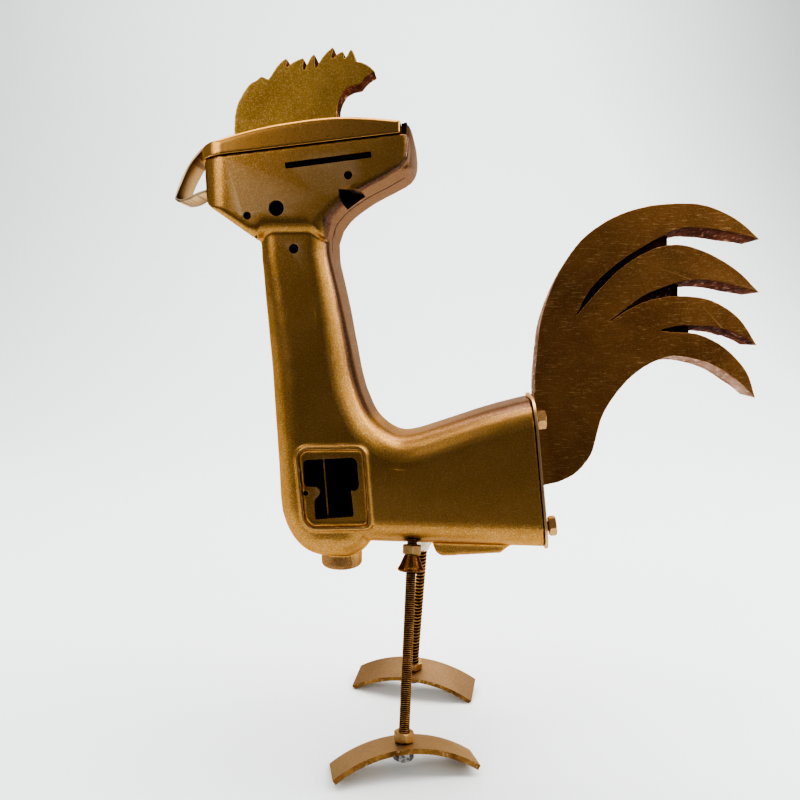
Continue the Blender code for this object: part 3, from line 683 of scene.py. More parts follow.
def make_cap(gold):
    top = smooth(cap_top(), 6)
    outline = [(CAP_RIGHT, seam_z(CAP_RIGHT) + GAP), (CAP_LEFT, seam_z(CAP_LEFT) + GAP),
               (-140.6, 331.6)] + top
    radii = [0.6, 0.6, 1.0] + [CAP_ROUND] * (len(top) - 1) + [1.0]
    near = HEAD_FRONT - 0.4
    far = HEAD_BACK + 0.4
    shell = keep(rounded_slab(outline, near, far, radii, steps=6),
                 plan_prism(CAP_LEFT, 0.0, near, far, HEAD_END_ROUND))
    inner = [(CAP_RIGHT - CAP_WALL, 300.0), (CAP_LEFT, 300.0), (CAP_LEFT, 332.0)]
    inner += [(x, z - CAP_WALL) for x, z in cap_top()[1:-1]]
    inner.append((CAP_RIGHT - CAP_WALL, cap_top()[-1][1] - CAP_WALL))
    hollow_near = HEAD_FRONT + CAP_WALL
    hollow_far = HEAD_BACK - CAP_WALL
    hollow = keep(slab(inner, hollow_near, hollow_far),
                  plan_prism(CAP_LEFT + CAP_WALL, 0.0, hollow_near, hollow_far,
                             HEAD_END_ROUND - CAP_WALL))
    cap = new_piece("painted_cap", cut(shell, hollow))
    soften(cap, voxel=0.5, passes=6, triangles=60000)
    finish(cap, "head_cap", "smooth_gold_paint", gold)


def height_on(line, x):
    for (xa, za), (xb, zb) in zip(line, line[1:]):
        if xa <= x <= xb:
            return za + (zb - za) * (x - xa) / (xb - xa)
    return line[-1][1]


def chained(runs):
    """Runs of points, each begun again at the last point of the run before."""
    return runs[:1] + [[before[-1]] + run for before, run in zip(runs, runs[1:])]


def joined(runs):
    """One line of runs that each begin where the one before ends."""
    return [point for run in runs for point in run[:-1]] + [runs[-1][-1]]


def comb_outline():
    lobes = chained([
        [(-125.6, 349.0), (-125.2, 355.0), (-123.6, 361.3), (-120.7, 366.6), (-116.7, 371.8),
         (-112.7, 374.0), (-109.9, 375.9), (-106.2, 374.2)],
        [(-103.6, 377.6), (-100.8, 381.5), (-98.0, 384.1), (-95.6, 384.6), (-97.0, 377.2)],
        [(-95.3, 380.9), (-92.5, 382.9), (-88.6, 384.6), (-86.4, 384.6), (-87.0, 377.6)],
        [(-84.7, 381.4), (-82.2, 385.7), (-80.2, 386.4), (-80.3, 378.0)],
        [(-77.5, 383.2), (-74.7, 386.8), (-72.0, 389.3), (-69.9, 390.1), (-71.4, 383.6)],
        [(-68.1, 386.6), (-64.6, 388.0), (-64.3, 383.4)],
        [(-62.6, 385.7), (-60.6, 388.9), (-59.0, 387.4), (-57.7, 382.9)],
        [(-54.4, 382.2), (-50.4, 380.2), (-47.3, 377.3)],
        [(-50.4, 375.6), (-53.3, 373.3), (-55.5, 370.7), (-59.9, 369.7), (-63.7, 367.7), (-66.0, 364.6),
         (-67.6, 360.4), (-68.2, 355.1)]])
    outline = joined([smooth(lobe, 5) for lobe in lobes])
    seat = [(x, z + GAP) for x, z in smooth(cap_top(), 6)]
    outline.append((-68.4, height_on(seat, -68.4)))
    outline += [point for point in seat[::-1] if -125.0 < point[0] < -69.0]
    outline.append((-125.8, height_on(seat, -125.8)))
    return outline


def make_comb(gold, edge):
    comb = new_piece("painted_comb", slab(comb_outline(), COMB_NEAR, COMB_NEAR + COMB_THICK))
    soften(comb, voxel=0.4, passes=2, triangles=60000)
    roughen(comb, height=0.09, size=1.6, seed=5.0)
    mark_edges(comb)
    finish(comb, "comb", "gold_wood_board", gold, edge)


def make_beak(gold):
    upper = smooth([(-127.0, 339.0), (-132.0, 338.1), (-136.6, 337.4), (-141.5, 334.6),
                    (-147.0, 328.6), (-152.4, 319.6), (-155.6, 311.8), (-156.2, 308.9)], 6)
    lower = smooth([(-155.0, 308.0), (-149.6, 309.0), (-144.6, 311.4), (-138.0, 313.6)], 6)
    line = upper + lower
    half = BEAK_THICK / 2
    outline = offset(line, half) + offset(line, -half)[::-1]
    beak = new_piece("painted_beak", slab(outline, BEAK_NEAR, BEAK_NEAR + BEAK_WIDTH))
    round_edges(beak, width=0.25, segments=2)
    finish(beak, "beak_strip", "gold_paint", gold)


def tail_runs():
    """Edge of the tail, as one curve for each side of a feather."""
    return chained([
        [(43.2, 203.0), (43.0, 211.0), (43.7, 222.4), (46.3, 244.9), (54.0, 267.0), (64.3, 284.4),
         (74.8, 294.9), (88.4, 303.0), (104.4, 308.0), (121.8, 309.5), (135.0, 308.4), (147.0, 303.6),
         (156.4, 297.2), (TAIL_TIP_X, 289.1)],
        [(154.1, 291.9), (143.4, 294.1), (132.7, 295.4), (121.9, 295.1), (111.1, 290.2), (100.2, 283.8),
         (89.4, 276.4), (78.5, 266.8), (72.0, 258.6), (65.9, 246.5)],
        [(78.6, 261.6), (89.4, 272.6), (100.3, 280.3), (111.1, 285.1), (121.9, 286.2), (132.7, 283.4),
         (143.4, 278.2), (154.6, 270.2), (164.2, 259.6)],
        [(154.3, 262.4), (143.4, 265.3), (132.7, 266.4), (122.0, 265.2), (111.2, 261.4), (100.4, 256.0),
         (84.6, 243.4)],
        [(95.0, 250.4), (105.8, 255.2), (116.6, 257.3), (127.4, 257.3), (138.1, 255.4), (148.2, 250.0),
         (156.0, 242.4), (162.8, 230.5)],
        [(154.1, 236.0), (143.4, 239.8), (132.8, 240.8), (122.1, 240.9), (111.3, 238.3)],
        [(118.5, 237.6), (126.5, 237.2), (134.0, 235.6), (143.5, 230.8), (152.0, 223.4), (158.6, 214.0),
         (162.0, 201.7)],
        [(154.1, 209.6), (143.5, 217.4), (132.8, 221.8), (121.0, 224.0), (113.6, 222.9), (104.0, 218.4),
         (94.6, 210.9), (86.0, 200.2), (80.1, 189.3), (76.7, 176.4), (74.1, 168.2), (66.6, 158.6),
         (57.0, 153.2)]])


def slit_webs():
    """Webs that close the slits between the feathers part of the way through; their dark faces are
    painted shade, standing in for the shade deep in the slits.
    """
    return [[(64.9, 245.6), (71.4, 259.6), (78.0, 267.8), (89.0, 277.5), (99.8, 284.9),
             (111.1, 291.2), (118.0, 294.0), (118.0, 285.0), (111.4, 284.1), (100.8, 279.4),
             (90.0, 271.7), (79.2, 260.7)],
            [(83.4, 243.0), (100.2, 257.0), (111.0, 262.4), (124.0, 266.4), (124.0, 256.3),
             (116.6, 256.3), (106.0, 254.2), (95.4, 249.4)],
            [(109.8, 238.4), (122.1, 241.9), (130.0, 241.9), (130.0, 235.4), (118.5, 236.6)]]


def even_steps(line, spacing):
    """Line with points at even steps between its two ends."""
    places = np.array(line)
    lengths = np.concatenate(([0.0], np.cumsum(np.linalg.norm(np.diff(places, axis=0), axis=1))))
    count = max(int(lengths[-1] / spacing), 1)
    at = np.linspace(0.0, lengths[-1], count + 1)
    return list(zip(np.interp(at, lengths, places[:, 0]), np.interp(at, lengths, places[:, 1])))


def board_mesh(outline, thickness, rounding, carve, seed, tips):
    """Sawn board with worn edges and blade marks, its thin tips cut back a little behind."""
    corners = inward(outline)
    half = thickness / 2
    levels = [(-half + rounding * (1 - sin(a)), rounding * (1 - cos(a)))
              for a in np.linspace(radians(90), 0, 4)]
    across = np.linspace(-half + rounding, half - rounding, int(thickness / SAW_STEP))[1:-1]
    levels = levels + [(y, 0.0) for y in across] + [(-y, inset) for y, inset in levels[::-1]]
    rings = []
    for y, inset in levels:
        ring = []
        for (x, z), (inner_x, inner_z) in zip(outline, corners):
            here = Vector((x, z))
            marks = noise.noise(Vector((x / MARK_WIDTH + seed, y / MARK_LENGTH, z / MARK_WIDTH)))
            chips = noise.noise(Vector((x / CHIP_SIZE, y / CHIP_DEPTH + seed, z / CHIP_SIZE)))
            worn = carve * (0.6 * (1 + marks) + 1.6 * max(chips - 0.1, 0.0))
            thin = min(min((here - tip).length / TIP_UNWORN, 1.0) for tip, _ in tips)
            deep = max(inset, worn) * thin
            place = here + (Vector((inner_x, inner_z)) - here) * deep
            for tip, back in tips:
                nearness = max(1.0 - (here - tip).length / TIP_REACH, 0.0)
                place += back * TIP_TRIM * (y / thickness + 0.5) * nearness
            ring.append((place.x, y, place.y))
        rings.append(ring)
    board = ring_mesh(rings)
    for face in board.polygons:
        face.use_smooth = len(face.vertices) == 4
        face.material_index = int(face.use_smooth)
    return board


def mark_pale_edges(tail):
    """Left wall and lowest underside of the board, where the paint is pale."""
    for face in tail.data.polygons:
        x, _, z = face.center
        left_wall = face.normal.x < -0.45 and x < 80.0
        underside = face.normal.z < -0.2 and x > 96.0 and z < 226.0 - TAIL_PIVOT_Z
        if face.material_index == 1 and (left_wall or underside):
            face.material_index = 2


def make_tail(bronze, edge, pale_edge):
    runs = tail_runs()
    outline = joined([even_steps(smooth(run), SAW_STEP) for run in runs])
    lift = PLATE_THICK + 3 * GAP
    outline.append((cut_x(TAIL_ROOT_LOW) + lift, TAIL_ROOT_LOW))
    outline.append((cut_x(TAIL_ROOT_TOP) + lift, TAIL_ROOT_TOP - 0.2))
    flat = [(x, z - TAIL_PIVOT_Z) for x, z in outline]
    tips = []
    for run in runs[:-1:2]:
        tip = Vector((run[-1][0], run[-1][1] - TAIL_PIVOT_Z))
        back = Vector((run[-2][0], run[-2][1] - TAIL_PIVOT_Z)) - tip
        tips.append((tip, back.normalized()))
    board = board_mesh(flat, TAIL_THICK, rounding=0.5, carve=0.22, seed=8.0, tips=tips)
    # Webs deep in the slits, which take the dark sawn-edge material as painted shade.
    webs = [slab([(x, z - TAIL_PIVOT_Z) for x, z in web], WEB_NEAR, TAIL_THICK / 2 - 0.5)
            for web in slit_webs()]
    tail = new_piece("painted_tail", add(board, *webs))
    mark_edges(tail, TAIL_THICK / 2 - 0.2)
    mark_pale_edges(tail)
    tail.data.transform(placed((0, 0, TAIL_PIVOT_Z), -TAIL_LEAN, "X"))
    finish(tail, "tail_board", "dark_bronze_wood_board", bronze, edge, pale_edge)


# End plate and screws

def plate_matrix(z):
    return placed((cut_x(z), 0, z), -CUT_TILT, "Y") @ Matrix.Rotation(radians(-90), 4, "Z")


def screw_matrix(y, z):
    return placed((cut_x(z), y, z), radians(90) - CUT_TILT, "Y")


def make_end_plate(gold):
    upright = cos(CUT_TILT)
    low = (BODY_BOTTOM - PLATE_MIDDLE_Z) / upright - PLATE_BELOW_BODY
    high = (PLATE_TOP_Z - PLATE_MIDDLE_Z) / upright + PLATE_OVERHANG
    left = -BACK - PLATE_OVERHANG
    right = -FRONT + PLATE_OVERHANG
    outline = fillet([(left, high), (right, high), (right, low), (left, low)],
                     [BODY_ROUND] * 4, 16)
    bores = [cylinder(HOLE_RADIUS, -6.0, 6.0, 32, screw_matrix(y, z)) for _, y, z, _, _ in SCREWS]
    sheet = slab(outline, GAP, GAP + PLATE_THICK, plate_matrix(PLATE_MIDDLE_Z))
    plate = new_piece("painted_end_plate", cut(sheet, *bores))
    round_edges(plate, width=0.3, segments=2)
    finish(plate, "end_plate", "gold_paint", gold)


def hex_mesh(low, high, bore=None, matrix=None):
    """Hexagon nut or screw head whose corners are turned off."""
    corner = HEX_ACROSS_FLATS / 2 / cos(radians(30))
    drop = (corner - HEX_ACROSS_FLATS / 2) * tan(HEX_CHAMFER) + 0.25
    flat = HEX_ACROSS_FLATS / 2 - 0.15
    profile = [(0.0001, low), (flat, low), (corner + 0.02, low + drop),
               (corner + 0.02, high - drop), (flat, high), (0.0001, high)]
    mesh = keep(cylinder(corner, low, high, 6), turned(profile, 48))
    if bore:
        mesh = cut(mesh, cylinder(bore, low - 2, high + 2, 40))
    if matrix is not None:
        mesh.transform(matrix)
    return mesh


def make_screws(gold):
    for name, y, z, head_gap, head_height in SCREWS:
        place = screw_matrix(y, z)
        head_low = GAP + PLATE_THICK + GAP + head_gap
        shank = threaded_mesh(-6.0, head_low + 1.0, place)
        head = hex_mesh(head_low, head_low + head_height, matrix=place)
        screw = new_piece("painted_" + name, add(shank, head))
        shade(screw, 30)
        finish(screw, name, "gold_paint", gold)


# Legs and feet

def leg_direction(side):
    return Vector((sin(LEG_LEAN[side]), -SIDE[side] * sin(LEG_SPLAY),
                   cos(LEG_SPLAY))).normalized()


def foot_axes(side):
    toe = TOE_OUT[side]
    along = Vector((cos(toe), -SIDE[side] * sin(toe), 0.0))
    leg = leg_direction(side)
    upright = (leg - along * leg.dot(along)).normalized()
    return along, upright.cross(along), upright


def foot_outline(steps):
    radius = (FOOT_CHORD ** 2 / 4 + FOOT_RISE ** 2) / (2 * FOOT_RISE)
    half = asin(FOOT_CHORD / 2 / radius)
    angles = [-half + 2 * half * step / steps for step in range(steps + 1)]
    top = [(radius * sin(a), radius * cos(a) - radius) for a in angles]
    inner = radius - FOOT_THICK
    under = [(inner * sin(a), inner * cos(a) - radius) for a in reversed(angles)]
    return top + under


def foot_apex(side):
    along, across, upright = foot_axes(side)
    reach = min(along.z * x + upright.z * z + across.z * y
                for x, z in foot_outline(16) for y in (-FOOT_WIDTH / 2, FOOT_WIDTH / 2))
    return Vector((LEG_X, SIDE[side] * FOOT_SPREAD / 2, -reach - FOOT_FLAT))


def frame_at(origin, x_axis, y_axis, z_axis):
    turn = Matrix((x_axis, y_axis, z_axis)).transposed().to_4x4()
    return Matrix.Translation(origin) @ turn


def leg_matrix(side):
    up = leg_direction(side)
    forward = (Vector((1, 0, 0)) - up * up.x).normalized()
    return frame_at(foot_apex(side), forward, up.cross(forward), up)


def threaded_mesh(low, high, matrix, pitch=1.0, segments=28, rings_per_pitch=6):
    """Rod with a helical thread cut into it."""
    heights = np.linspace(low, high, int((high - low) / pitch * rings_per_pitch) + 1)
    phase = (heights[:, None] / pitch - np.arange(segments) / segments) % 1.0
    tooth = np.clip(np.abs(2 * phase - 1) * 1.3 - 0.1, 0.0, 1.0)
    end = np.minimum(heights - low, high - heights)
    fade = np.clip(end / THREAD_RUNOUT, 0.0, 1.0)[:, None]
    radius = ROD_RADIUS - 0.02 - THREAD_DEPTH * (1 - tooth * fade)
    rings = [[(reach * c, reach * s, height) for reach, (c, s) in zip(row, turns(segments))]
             for row, height in zip(radius, heights)]
    return ring_mesh(rings, matrix)


def mark_crests(rod, matrix):
    """Share of each point's height on the thread, 1 at its crest."""
    back = matrix.inverted()
    across = [(back @ vertex.co).xy.length for vertex in rod.data.vertices]
    crest = [(reach - ROD_RADIUS + THREAD_DEPTH) / THREAD_DEPTH for reach in across]
    keep_values(rod.data, "crest", crest)


def make_rod(side, thread):
    matrix = leg_matrix(side)
    high = (ROD_TOP_Z - foot_apex(side).z) / leg_direction(side).z
    pitch = THREAD_PITCH[side]
    thread_mesh = threaded_mesh(-ROD_BELOW_APEX, high, matrix, pitch,
                                rings_per_pitch=int(8 * pitch))
    rod = new_piece(side + "_threaded_rod", thread_mesh)
    rod.data.shade_smooth()
    mark_crests(rod, matrix)
    finish(rod, side + "_leg_rod", "gold_paint", thread)


def make_nuts(side, gold, steel):
    matrix = leg_matrix(side)
    nuts = (("foot_nut", FOOT_NUT_LOW, 14.0, gold, "gold_paint"),
            ("lower_foot_nut", LOWER_NUT_LOW, 40.0, steel, "bare_steel"),
            ("upper_leg_nut", TOP_NUT_LOW, 4.0, gold, "gold_paint"))
    for name, low, turn, material, slot in nuts:
        place = matrix @ Matrix.Rotation(radians(turn), 4, "Z")
        nut = new_piece(side + "_painted_" + name,
                        hex_mesh(low, low + NUT_HEIGHT, bore=HOLE_RADIUS - 0.2, matrix=place))
        shade(nut, 30)
        finish(nut, side + "_" + name, slot, material)


def make_cone(side, material):
    matrix = leg_matrix(side)
    bore = HOLE_RADIUS - 0.2
    if side == "left":
        profile = smooth([(3.9, 9.0), (4.6, 7.4), (5.6, 5.0), (6.6, 2.7), (7.1, 2.0), (7.4, 1.4),
                          (7.35, 0.6), (6.7, 0.0)], 3) + [(bore, 0.0), (bore, 9.0)]
    else:
        profile = smooth([(6.7, 11.2), (7.2, 10.8), (7.2, 10.2), (6.2, 7.4), (5.2, 4.4),
                          (4.2, 1.6), (3.8, 0.4), (3.6, 0.0)], 3) + [(bore, 0.0), (bore, 11.2)]
    place = matrix @ Matrix.Translation((0, 0, TOP_NUT_LOW - CONE_DROP[side]))
    cone = new_piece(side + "_painted_cone", turned(profile, 72, place))
    roughen(cone, height=0.12, size=1.5, seed=2.0 if side == "left" else 6.0)
    shade(cone, 50)
    finish(cone, side + "_leg_cone", "gold_paint", material)


def mark_foot_edges(foot, side):
    """Cut sides and ends of the arched plate get the second material."""
    along, across, _ = foot_axes(side)
    apex = foot_apex(side)
    for face in foot.data.polygons:
        side_face = abs(face.normal.dot(across)) > 0.8
        end_face = abs((face.center - apex).dot(along)) > FOOT_CHORD / 2 - 0.6
        face.material_index = 1 if side_face or end_face else 0


def make_foot(side, gold, edge):
    along, across, upright = foot_axes(side)
    arch = slab(foot_outline(48), -FOOT_WIDTH / 2, FOOT_WIDTH / 2,
                frame_at(foot_apex(side), along, across, upright))
    bore = cylinder(HOLE_RADIUS, -8.0, 8.0, 32, leg_matrix(side))
    foot = new_piece(side + "_painted_foot", cut(arch, bore))
    round_edges(foot, width=0.35, segments=2)
    foot.data.shade_flat()
    for vertex in foot.data.vertices:
        vertex.co.z = max(vertex.co.z, 0.0)
    mark_foot_edges(foot, side)
    finish(foot, side + "_foot", "gold_paint", gold, edge)


# Materials

class Nodes:
    """Short way to add and join the nodes of a material or a world."""

    def __init__(self, owner):
        owner.use_nodes = True
        self.owner = owner
        self.tree = owner.node_tree
        self.shader = self.tree.nodes.get("Principled BSDF") or self.tree.nodes["Background"]

    def feed(self, socket, value):
        if isinstance(value, bpy.types.NodeSocket):
            self.tree.links.new(value, socket)
        elif socket.type == "RGBA":
            socket.default_value = (*value, 1.0)
        else:
            socket.default_value = value

    def fill(self, node, inputs):
        for key, value in inputs.items():
            if isinstance(key, str):
                key = key.replace("_", " ")
            self.feed(node.inputs[key], value)
        return node

    def add(self, kind, **inputs):
        return self.fill(self.tree.nodes.new("ShaderNode" + kind), inputs)

    def surface(self, **inputs):
        self.fill(self.shader, inputs)
        return self.owner

    def surface_color(self):
        return self.shader.inputs["Base Color"].links[0].from_socket

    def place(self, kind="Object"):
        return self.add("TexCoord").outputs[kind]

    def axes(self, kind="Object"):
        return self.add("SeparateXYZ", Vector=self.place(kind)).outputs

    def grain(self, scale, detail=2.0, roughness=0.5, stretch=None):
        vector = self.place()
        if stretch is not None:
            vector = self.add("Mapping", Vector=vector, Scale=stretch).outputs["Vector"]
        node = self.add("TexNoise", Vector=vector, Scale=scale, Detail=detail,
                        Roughness=roughness)
        return node.outputs["Fac"]

    def ramp(self, factor, low, high, low_value=0.0, high_value=1.0):
        node = self.add("MapRange", Value=factor, From_Min=low, From_Max=high,
                        To_Min=low_value, To_Max=high_value)
        return node.outputs["Result"]

    def mix(self, factor, first, second):
        node = self.add("Mix")
        node.data_type = "RGBA"
        return self.fill(node, {0: factor, 6: first, 7: second}).outputs[2]

    def math(self, operation, first, second):
        node = self.add("Math")
        node.operation = operation
        return self.fill(node, {0: first, 1: second}).outputs[0]

    def bump(self, height, strength, distance, normal=None):
        node = self.add("Bump", Strength=strength, Distance=distance, Height=height)
        if normal is not None:
            self.feed(node.inputs["Normal"], normal)
        return node.outputs["Normal"]

    def attribute(self, name):
        node = self.add("Attribute")
        node.attribute_name = name
        return node.outputs["Fac"]

    def edges(self, low, high):
        """Share of convexity at the surface, for worn edges with their painted highlight and for
        painted shade in creases.
        """
        geometry = self.add("NewGeometry")
        return self.ramp(geometry.outputs["Pointiness"], low, high)


def metal_paint(name, base, flake, dark, rough, flake_size=1100.0,
                flake_share=0.25, bump=0.35, worn=None, hollow=False):
    """Metallic paint: fine bright flakes over a darker ground, with painted shade in creases and
    lighter worn edges that also paint a highlight; a hollow piece also gets a rosy painted sheen and
    near-black painted shade deep below its skin, where the paint lies thin.
    """
    nodes = Nodes(bpy.data.materials.new(name))
    fine = nodes.grain(flake_size, 3.0, 0.7)
    broad = nodes.grain(28.0, 3.0, 0.6)
    sparkle = nodes.ramp(fine, 0.5, 0.68, 0.0, flake_share)
    tone = nodes.mix(nodes.ramp(broad, 0.35, 0.7), dark, base)
    color = nodes.mix(sparkle, tone, flake)
    # Painted shade: concave creases, found by low pointiness, are darkened to a third of the dark
    # ground.
    creases = nodes.edges(0.40, 0.485)
    color = nodes.mix(creases, tuple(0.3 * c for c in dark), color)
    # Lighter colour on convex edges: partly worn paint, partly a painted highlight along the edges.
    if worn is not None:
        color = nodes.mix(nodes.math("MULTIPLY", nodes.edges(0.52, 0.60), 0.5), color, worn)
    spread = nodes.ramp(fine, 0.3, 0.7, rough + 0.08, rough - 0.08)
    metallic = 1.0
    if hollow:
        # Rosy painted sheen, mixed in by the share kept on each point of the casting.
        painted_sheen = nodes.mix(sparkle, (0.145, 0.080, 0.056), (0.36, 0.25, 0.20))
        color = nodes.mix(nodes.attribute("painted_sheen"), color, painted_sheen)
        # Painted shade: near black deep below the outer skin, inside the hollow casting, its window,
        # gaps and recesses, where the paint also lies thin; rougher and less metallic there too.
        deep_shade_and_bare = nodes.ramp(nodes.attribute("depth"), 0.8, 2.6)
        color = nodes.mix(deep_shade_and_bare, color, (0.012, 0.008, 0.005))
        spread = nodes.math("MAXIMUM", spread, nodes.math("MULTIPLY", deep_shade_and_bare, 0.85))
        metallic = nodes.ramp(deep_shade_and_bare, 0.0, 1.0, 1.0, 0.2)
    orange_peel = nodes.bump(nodes.grain(350.0, 2.0), 0.12, 0.0004)
    return nodes.surface(Base_Color=color, Roughness=spread, Metallic=metallic,
                         Specular_Tint=(0.80, 0.60, 0.45),
                         Normal=nodes.bump(fine, bump, 0.00012, orange_peel))


def scratched_bronze():
    """Dark paint over a board, with long fine marks along its grain."""
    nodes = Nodes(metal_paint(
        "dark_bronze", (0.31, 0.148, 0.056), (0.50, 0.29, 0.13), (0.20, 0.092, 0.036), 0.42,
        flake_share=0.35, worn=(0.62, 0.38, 0.16)))
    marks = nodes.grain(170.0, 5.0, 0.7, (1.0, 1.0, 9.0))
    lines = nodes.ramp(marks, 0.57, 0.66, 0.0, 0.6)
    normal = nodes.shader.inputs["Normal"].links[0].from_socket
    return nodes.surface(Base_Color=nodes.mix(lines, nodes.surface_color(), (0.66, 0.42, 0.20)),
                         Normal=nodes.bump(marks, 0.25, 0.0002, normal))


def thread_shade_and_highlight():
    """Paint with painted shade down in the thread and a painted highlight on its crests, in patches."""
    nodes = Nodes(metal_paint(
        "thread_shade_and_highlight", (0.20, 0.085, 0.028), (0.60, 0.36, 0.16), (0.05, 0.018, 0.008), 0.38,
        flake_share=0.3))
    patches = nodes.ramp(nodes.grain(260.0, 3.0, 0.6), 0.35, 0.6, 0.25, 1.0)
    # Painted highlight on the crests, painted shade on the flanks and in the valleys.
    top = nodes.ramp(nodes.attribute("crest"), 0.65, 1.0)
    flank = nodes.ramp(nodes.attribute("crest"), 0.1, 0.6)
    ground = nodes.mix(flank, (0.02, 0.008, 0.004), nodes.surface_color())
    bright = nodes.math("MULTIPLY", top, patches)
    return nodes.surface(Base_Color=nodes.mix(bright, ground, (0.62, 0.38, 0.19)))


def sawn_edge(name, base, light, dark, rough):
    """Dull paint soaked into a sawn side, with streaks across the board and light crests."""
    nodes = Nodes(bpy.data.materials.new(name))
    streaks = nodes.grain(420.0, 5.0, 0.7, (1.0, 0.3, 1.0))
    broad = nodes.grain(90.0, 3.0, 0.6)
    color = nodes.mix(nodes.ramp(broad, 0.35, 0.65), dark, base)
    color = nodes.mix(nodes.ramp(streaks, 0.55, 0.68, 0.0, 0.8), color, light)
    return nodes.surface(Base_Color=color, Metallic=0.6, Specular_IOR_Level=0.15,
                         Roughness=nodes.ramp(streaks, 0.3, 0.7, rough + 0.15, rough - 0.1),
                         Specular_Tint=(0.35, 0.20, 0.14),
                         Normal=nodes.bump(streaks, 0.7, 0.0004))


def bare_steel():
    nodes = Nodes(bpy.data.materials.new("bare_steel"))
    dirt = nodes.ramp(nodes.grain(400.0, 4.0, 0.6), 0.45, 0.65, 0.0, 0.8)
    color = nodes.mix(dirt, (0.33, 0.32, 0.31), (0.08, 0.065, 0.055))
    return nodes.surface(Base_Color=color, Roughness=nodes.ramp(dirt, 0.0, 1.0, 0.25, 0.5),
                         Metallic=0.95, Normal=nodes.bump(nodes.grain(900.0), 0.2, 0.0002))


def dress(piece, *materials):
    chosen = [face.material_index for face in piece.data.polygons] if len(materials) > 1 else None
    piece.data.materials.clear()
    for material in materials:
        piece.data.materials.append(material)
    if chosen is not None:
        piece.data.polygons.foreach_set("material_index", chosen)


def mark_edges(board, reach=0.0):
    """Give the sawn sides of a board the second material, and what lies deep in a slit, where the dark
    material is painted shade.
    """
    for face in board.data.polygons:
        flat = abs(face.normal.y) > 0.55 and abs(face.center.y) >= reach
        face.material_index = 0 if flat else 1


def keep_inside(mesh):
    """Press what stands a hair outside the model's box back onto it."""
    places = np.clip(read_vectors(mesh.vertices, "co"), *(np.array(end) for end in cad_bounds))
    write_places(mesh, places)


def finish(piece, node, slot, *materials):
    """Paint a piece and bring it to the model's frame, in place of its plain solid."""
    dress(piece, *materials)
    piece.data.transform(TO_FRAME)
    keep_inside(piece.data)
    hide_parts(node)
    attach(piece, "root")


# Studio

def make_floor():
    """Pale sweep: a floor that rises behind in one curve and fades into the dark in front."""
    radius = 0.9
    front = -3.0
    back = 1.6
    top = 3.5
    half_width = 4.0
    profile = [(front, 0.0), (back - radius, 0.0)]
    profile += [(back - radius + radius * sin(a), radius - radius * cos(a))
                for a in np.linspace(0.1, radians(90), 24)]
    profile.append((back, top))
    shape = bmesh.new()
    rows = [[shape.verts.new((x, y, z)) for y, z in profile]
            for x in (-half_width, half_width)]
    for i in range(len(profile) - 1):
        shape.faces.new((rows[0][i], rows[0][i + 1], rows[1][i + 1], rows[1][i]))
    sweep = new_piece("pale_sweep", mesh_from(shape))
    sweep.data.shade_smooth()
    nodes = Nodes(bpy.data.materials.new("pale_paper"))
    tone = nodes.mix(nodes.grain(3.0), (0.88, 0.90, 0.895), (0.90, 0.92, 0.915))
    axes = nodes.axes()
    lit = nodes.ramp(axes["Y"], -0.40, -0.10)
    color = nodes.mix(lit, (0.07, 0.07, 0.07), tone)
    # Painted shade: the sweep turns grey towards its right side and higher up.
    corner = nodes.math("ADD", axes["X"], nodes.math("MULTIPLY", axes["Z"], 0.5))
    color = nodes.mix(nodes.ramp(corner, 0.75, 1.75), color, (0.34, 0.345, 0.345))
    dress(sweep, nodes.surface(Base_Color=color, Roughness=0.85, Specular_IOR_Level=0.1))


def area_light(name, place, target, size, power):
    data = bpy.data.lights.new(name, "AREA")
    data.shape = "RECTANGLE"
    data.size, data.size_y = size
    data.energy = power
    light = new_piece(name, data)
    light.location = place
    aim = Vector(target) - Vector(place)
    light.rotation_euler = aim.to_track_quat("-Z", "Y").to_euler()


def surroundings():
    """Bright room behind and beside the rooster, dark where the camera stands."""
    world = bpy.data.worlds.new("studio")
    bpy.context.scene.world = world
    nodes = Nodes(world)
    axes = nodes.axes("Generated")
    total = 0.0
    for axis, low, high, strength in (("Y", -0.2, 0.6, 0.33), ("X", 0.1, -0.9, 0.22),
                                      ("X", -0.1, 0.9, 0.83), ("Y", 0.0, -0.8, 0.02)):
        total = nodes.math("ADD", total, nodes.ramp(axes[axis], low, high, 0.0, strength))
    nodes.surface(Color=(0.95, 0.98, 1.0), Strength=total)


def light_studio():
    middle = (0.0, 0.0, 0.2)
    area_light("top_light", (0.0, 0.35, 1.6), (0.0, 0.35, 0.0), (2.4, 1.6), 32.7)
    area_light("left_light", (-0.8, -0.8, 0.7), middle, (0.7, 0.6), 3.2)
    area_light("right_light", (1.2, 0.15, 0.8), middle, (0.7, 0.9), 7.5)
    area_light("right_front_light", (0.9, -0.8, 0.8), middle, (0.7, 0.6), 1.6)
    area_light("backdrop_light", (0.0, 0.5, 1.8), (0.0, 1.6, 0.7), (2.4, 0.6), 4.4)
    surroundings()
    view = bpy.context.scene.view_settings
    view.view_transform = "AgX"
    view.look = "AgX - Very High Contrast"


def place_camera():
    data = bpy.data.cameras.new("camera")
    data.sensor_width = SENSOR_WIDTH
    data.lens = SENSOR_WIDTH * FOCAL_PIXELS / FRAME_PIXELS
    data.clip_start = 0.01
    data.clip_end = 20.0
    forward = Vector((-sin(CAMERA_YAW) * cos(CAMERA_PITCH),
                      cos(CAMERA_YAW) * cos(CAMERA_PITCH), -sin(CAMERA_PITCH)))
    right = forward.cross(Vector((0, 0, 1))).normalized()
    up = right.cross(forward)
    cosine = cos(CAMERA_ROLL)
    sine = sin(CAMERA_ROLL)
    camera = new_piece("camera", data)
    camera.matrix_world = frame_at(SHIFT + Vector(CAMERA_PLACE) * MM, cosine * right + sine * up,
                                   cosine * up - sine * right, -forward)
    bpy.context.scene.camera = camera


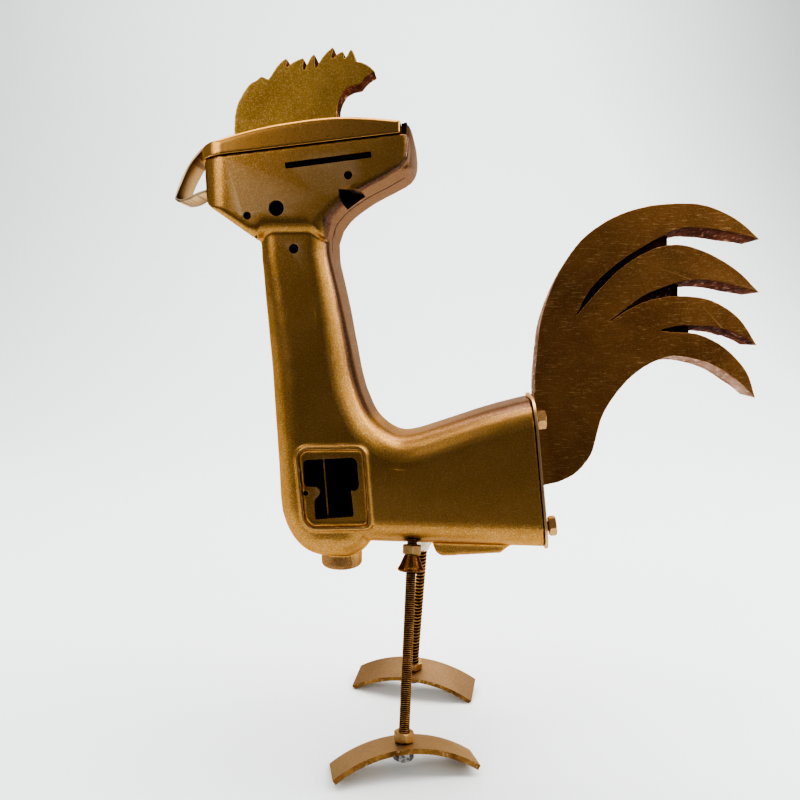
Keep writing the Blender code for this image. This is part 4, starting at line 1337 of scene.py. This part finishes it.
def make_rooster():
    gold = metal_paint(
        "gold_paint", (0.47, 0.255, 0.085), (0.80, 0.57, 0.31), (0.40, 0.21, 0.062), 0.38,
        flake_size=1500.0, flake_share=0.6, worn=(0.74, 0.55, 0.36), hollow=True)
    satin = metal_paint(
        "satin_gold", (0.58, 0.32, 0.12), (0.78, 0.50, 0.28), (0.52, 0.28, 0.095), 0.33,
        flake_share=0.15, bump=0.06, worn=(0.90, 0.66, 0.36))
    olive = metal_paint(
        "olive_gold", (0.49, 0.30, 0.09), (0.80, 0.58, 0.28), (0.33, 0.19, 0.05), 0.48,
        flake_size=1700.0, flake_share=0.6, worn=(0.60, 0.34, 0.22))
    matte = metal_paint(
        "matte_gold", (0.40, 0.27, 0.155), (0.54, 0.40, 0.27), (0.345, 0.23, 0.13), 0.55)
    # Darker copy of the matte gold for the far foot: painted shade, against the light it catches from
    # the bright room behind.
    shaded_matte = metal_paint(
        "shaded_matte_gold", (0.305, 0.195, 0.11), (0.46, 0.32, 0.20), (0.255, 0.16, 0.088), 0.52)
    # Darker, greyer gold for the beak: painted shade on the strip's inner side.
    shaded_beak_gold = metal_paint(
        "shaded_beak_gold", (0.17, 0.13, 0.095), (0.30, 0.235, 0.175), (0.125, 0.093, 0.067), 0.42,
        worn=(0.85, 0.62, 0.36))
    thread = thread_shade_and_highlight()
    nut_gold = metal_paint(
        "nut_gold", (0.34, 0.19, 0.075), (0.55, 0.35, 0.18), (0.24, 0.13, 0.05), 0.42,
        flake_share=0.3, worn=(0.80, 0.58, 0.32))
    brown = metal_paint(
        "brown_gold", (0.19, 0.08, 0.026), (0.60, 0.36, 0.18), (0.09, 0.035, 0.014), 0.36,
        flake_share=0.4, worn=(0.92, 0.66, 0.36))
    # Near-white gold for the far cone: partly its pale metal, partly a painted reflection of the bright
    # backdrop behind it.
    silver_and_reflection = metal_paint(
        "silver_and_reflection_gold", (0.70, 0.66, 0.60), (0.95, 0.93, 0.90), (0.45, 0.38, 0.28), 0.34,
        flake_share=0.6, worn=(0.95, 0.93, 0.90))
    bronze = scratched_bronze()
    steel = bare_steel()
    board_edge = sawn_edge(
        "sawn_board_edge", (0.22, 0.09, 0.045), (0.68, 0.42, 0.30), (0.08, 0.028, 0.012), 0.55)
    pale_edge = sawn_edge(
        "pale_board_edge", (0.50, 0.34, 0.26), (0.90, 0.72, 0.60), (0.26, 0.14, 0.09), 0.5)
    plate_edge = sawn_edge(
        "cut_plate_edge", (0.34, 0.19, 0.07), (0.62, 0.43, 0.25), (0.16, 0.08, 0.03), 0.5)
    make_casting(gold)
    make_cap(satin)
    make_comb(olive, board_edge)
    make_beak(shaded_beak_gold)
    make_tail(bronze, board_edge, pale_edge)
    make_end_plate(gold)
    make_screws(gold)
    for side in SIDE:
        make_rod(side, thread)
        make_nuts(side, nut_gold, steel)
        make_cone(side, brown if side == "left" else silver_and_reflection)
        make_foot(side, matte if side == "left" else shaded_matte, plate_edge)


make_rooster()
make_floor()
light_studio()
place_camera()
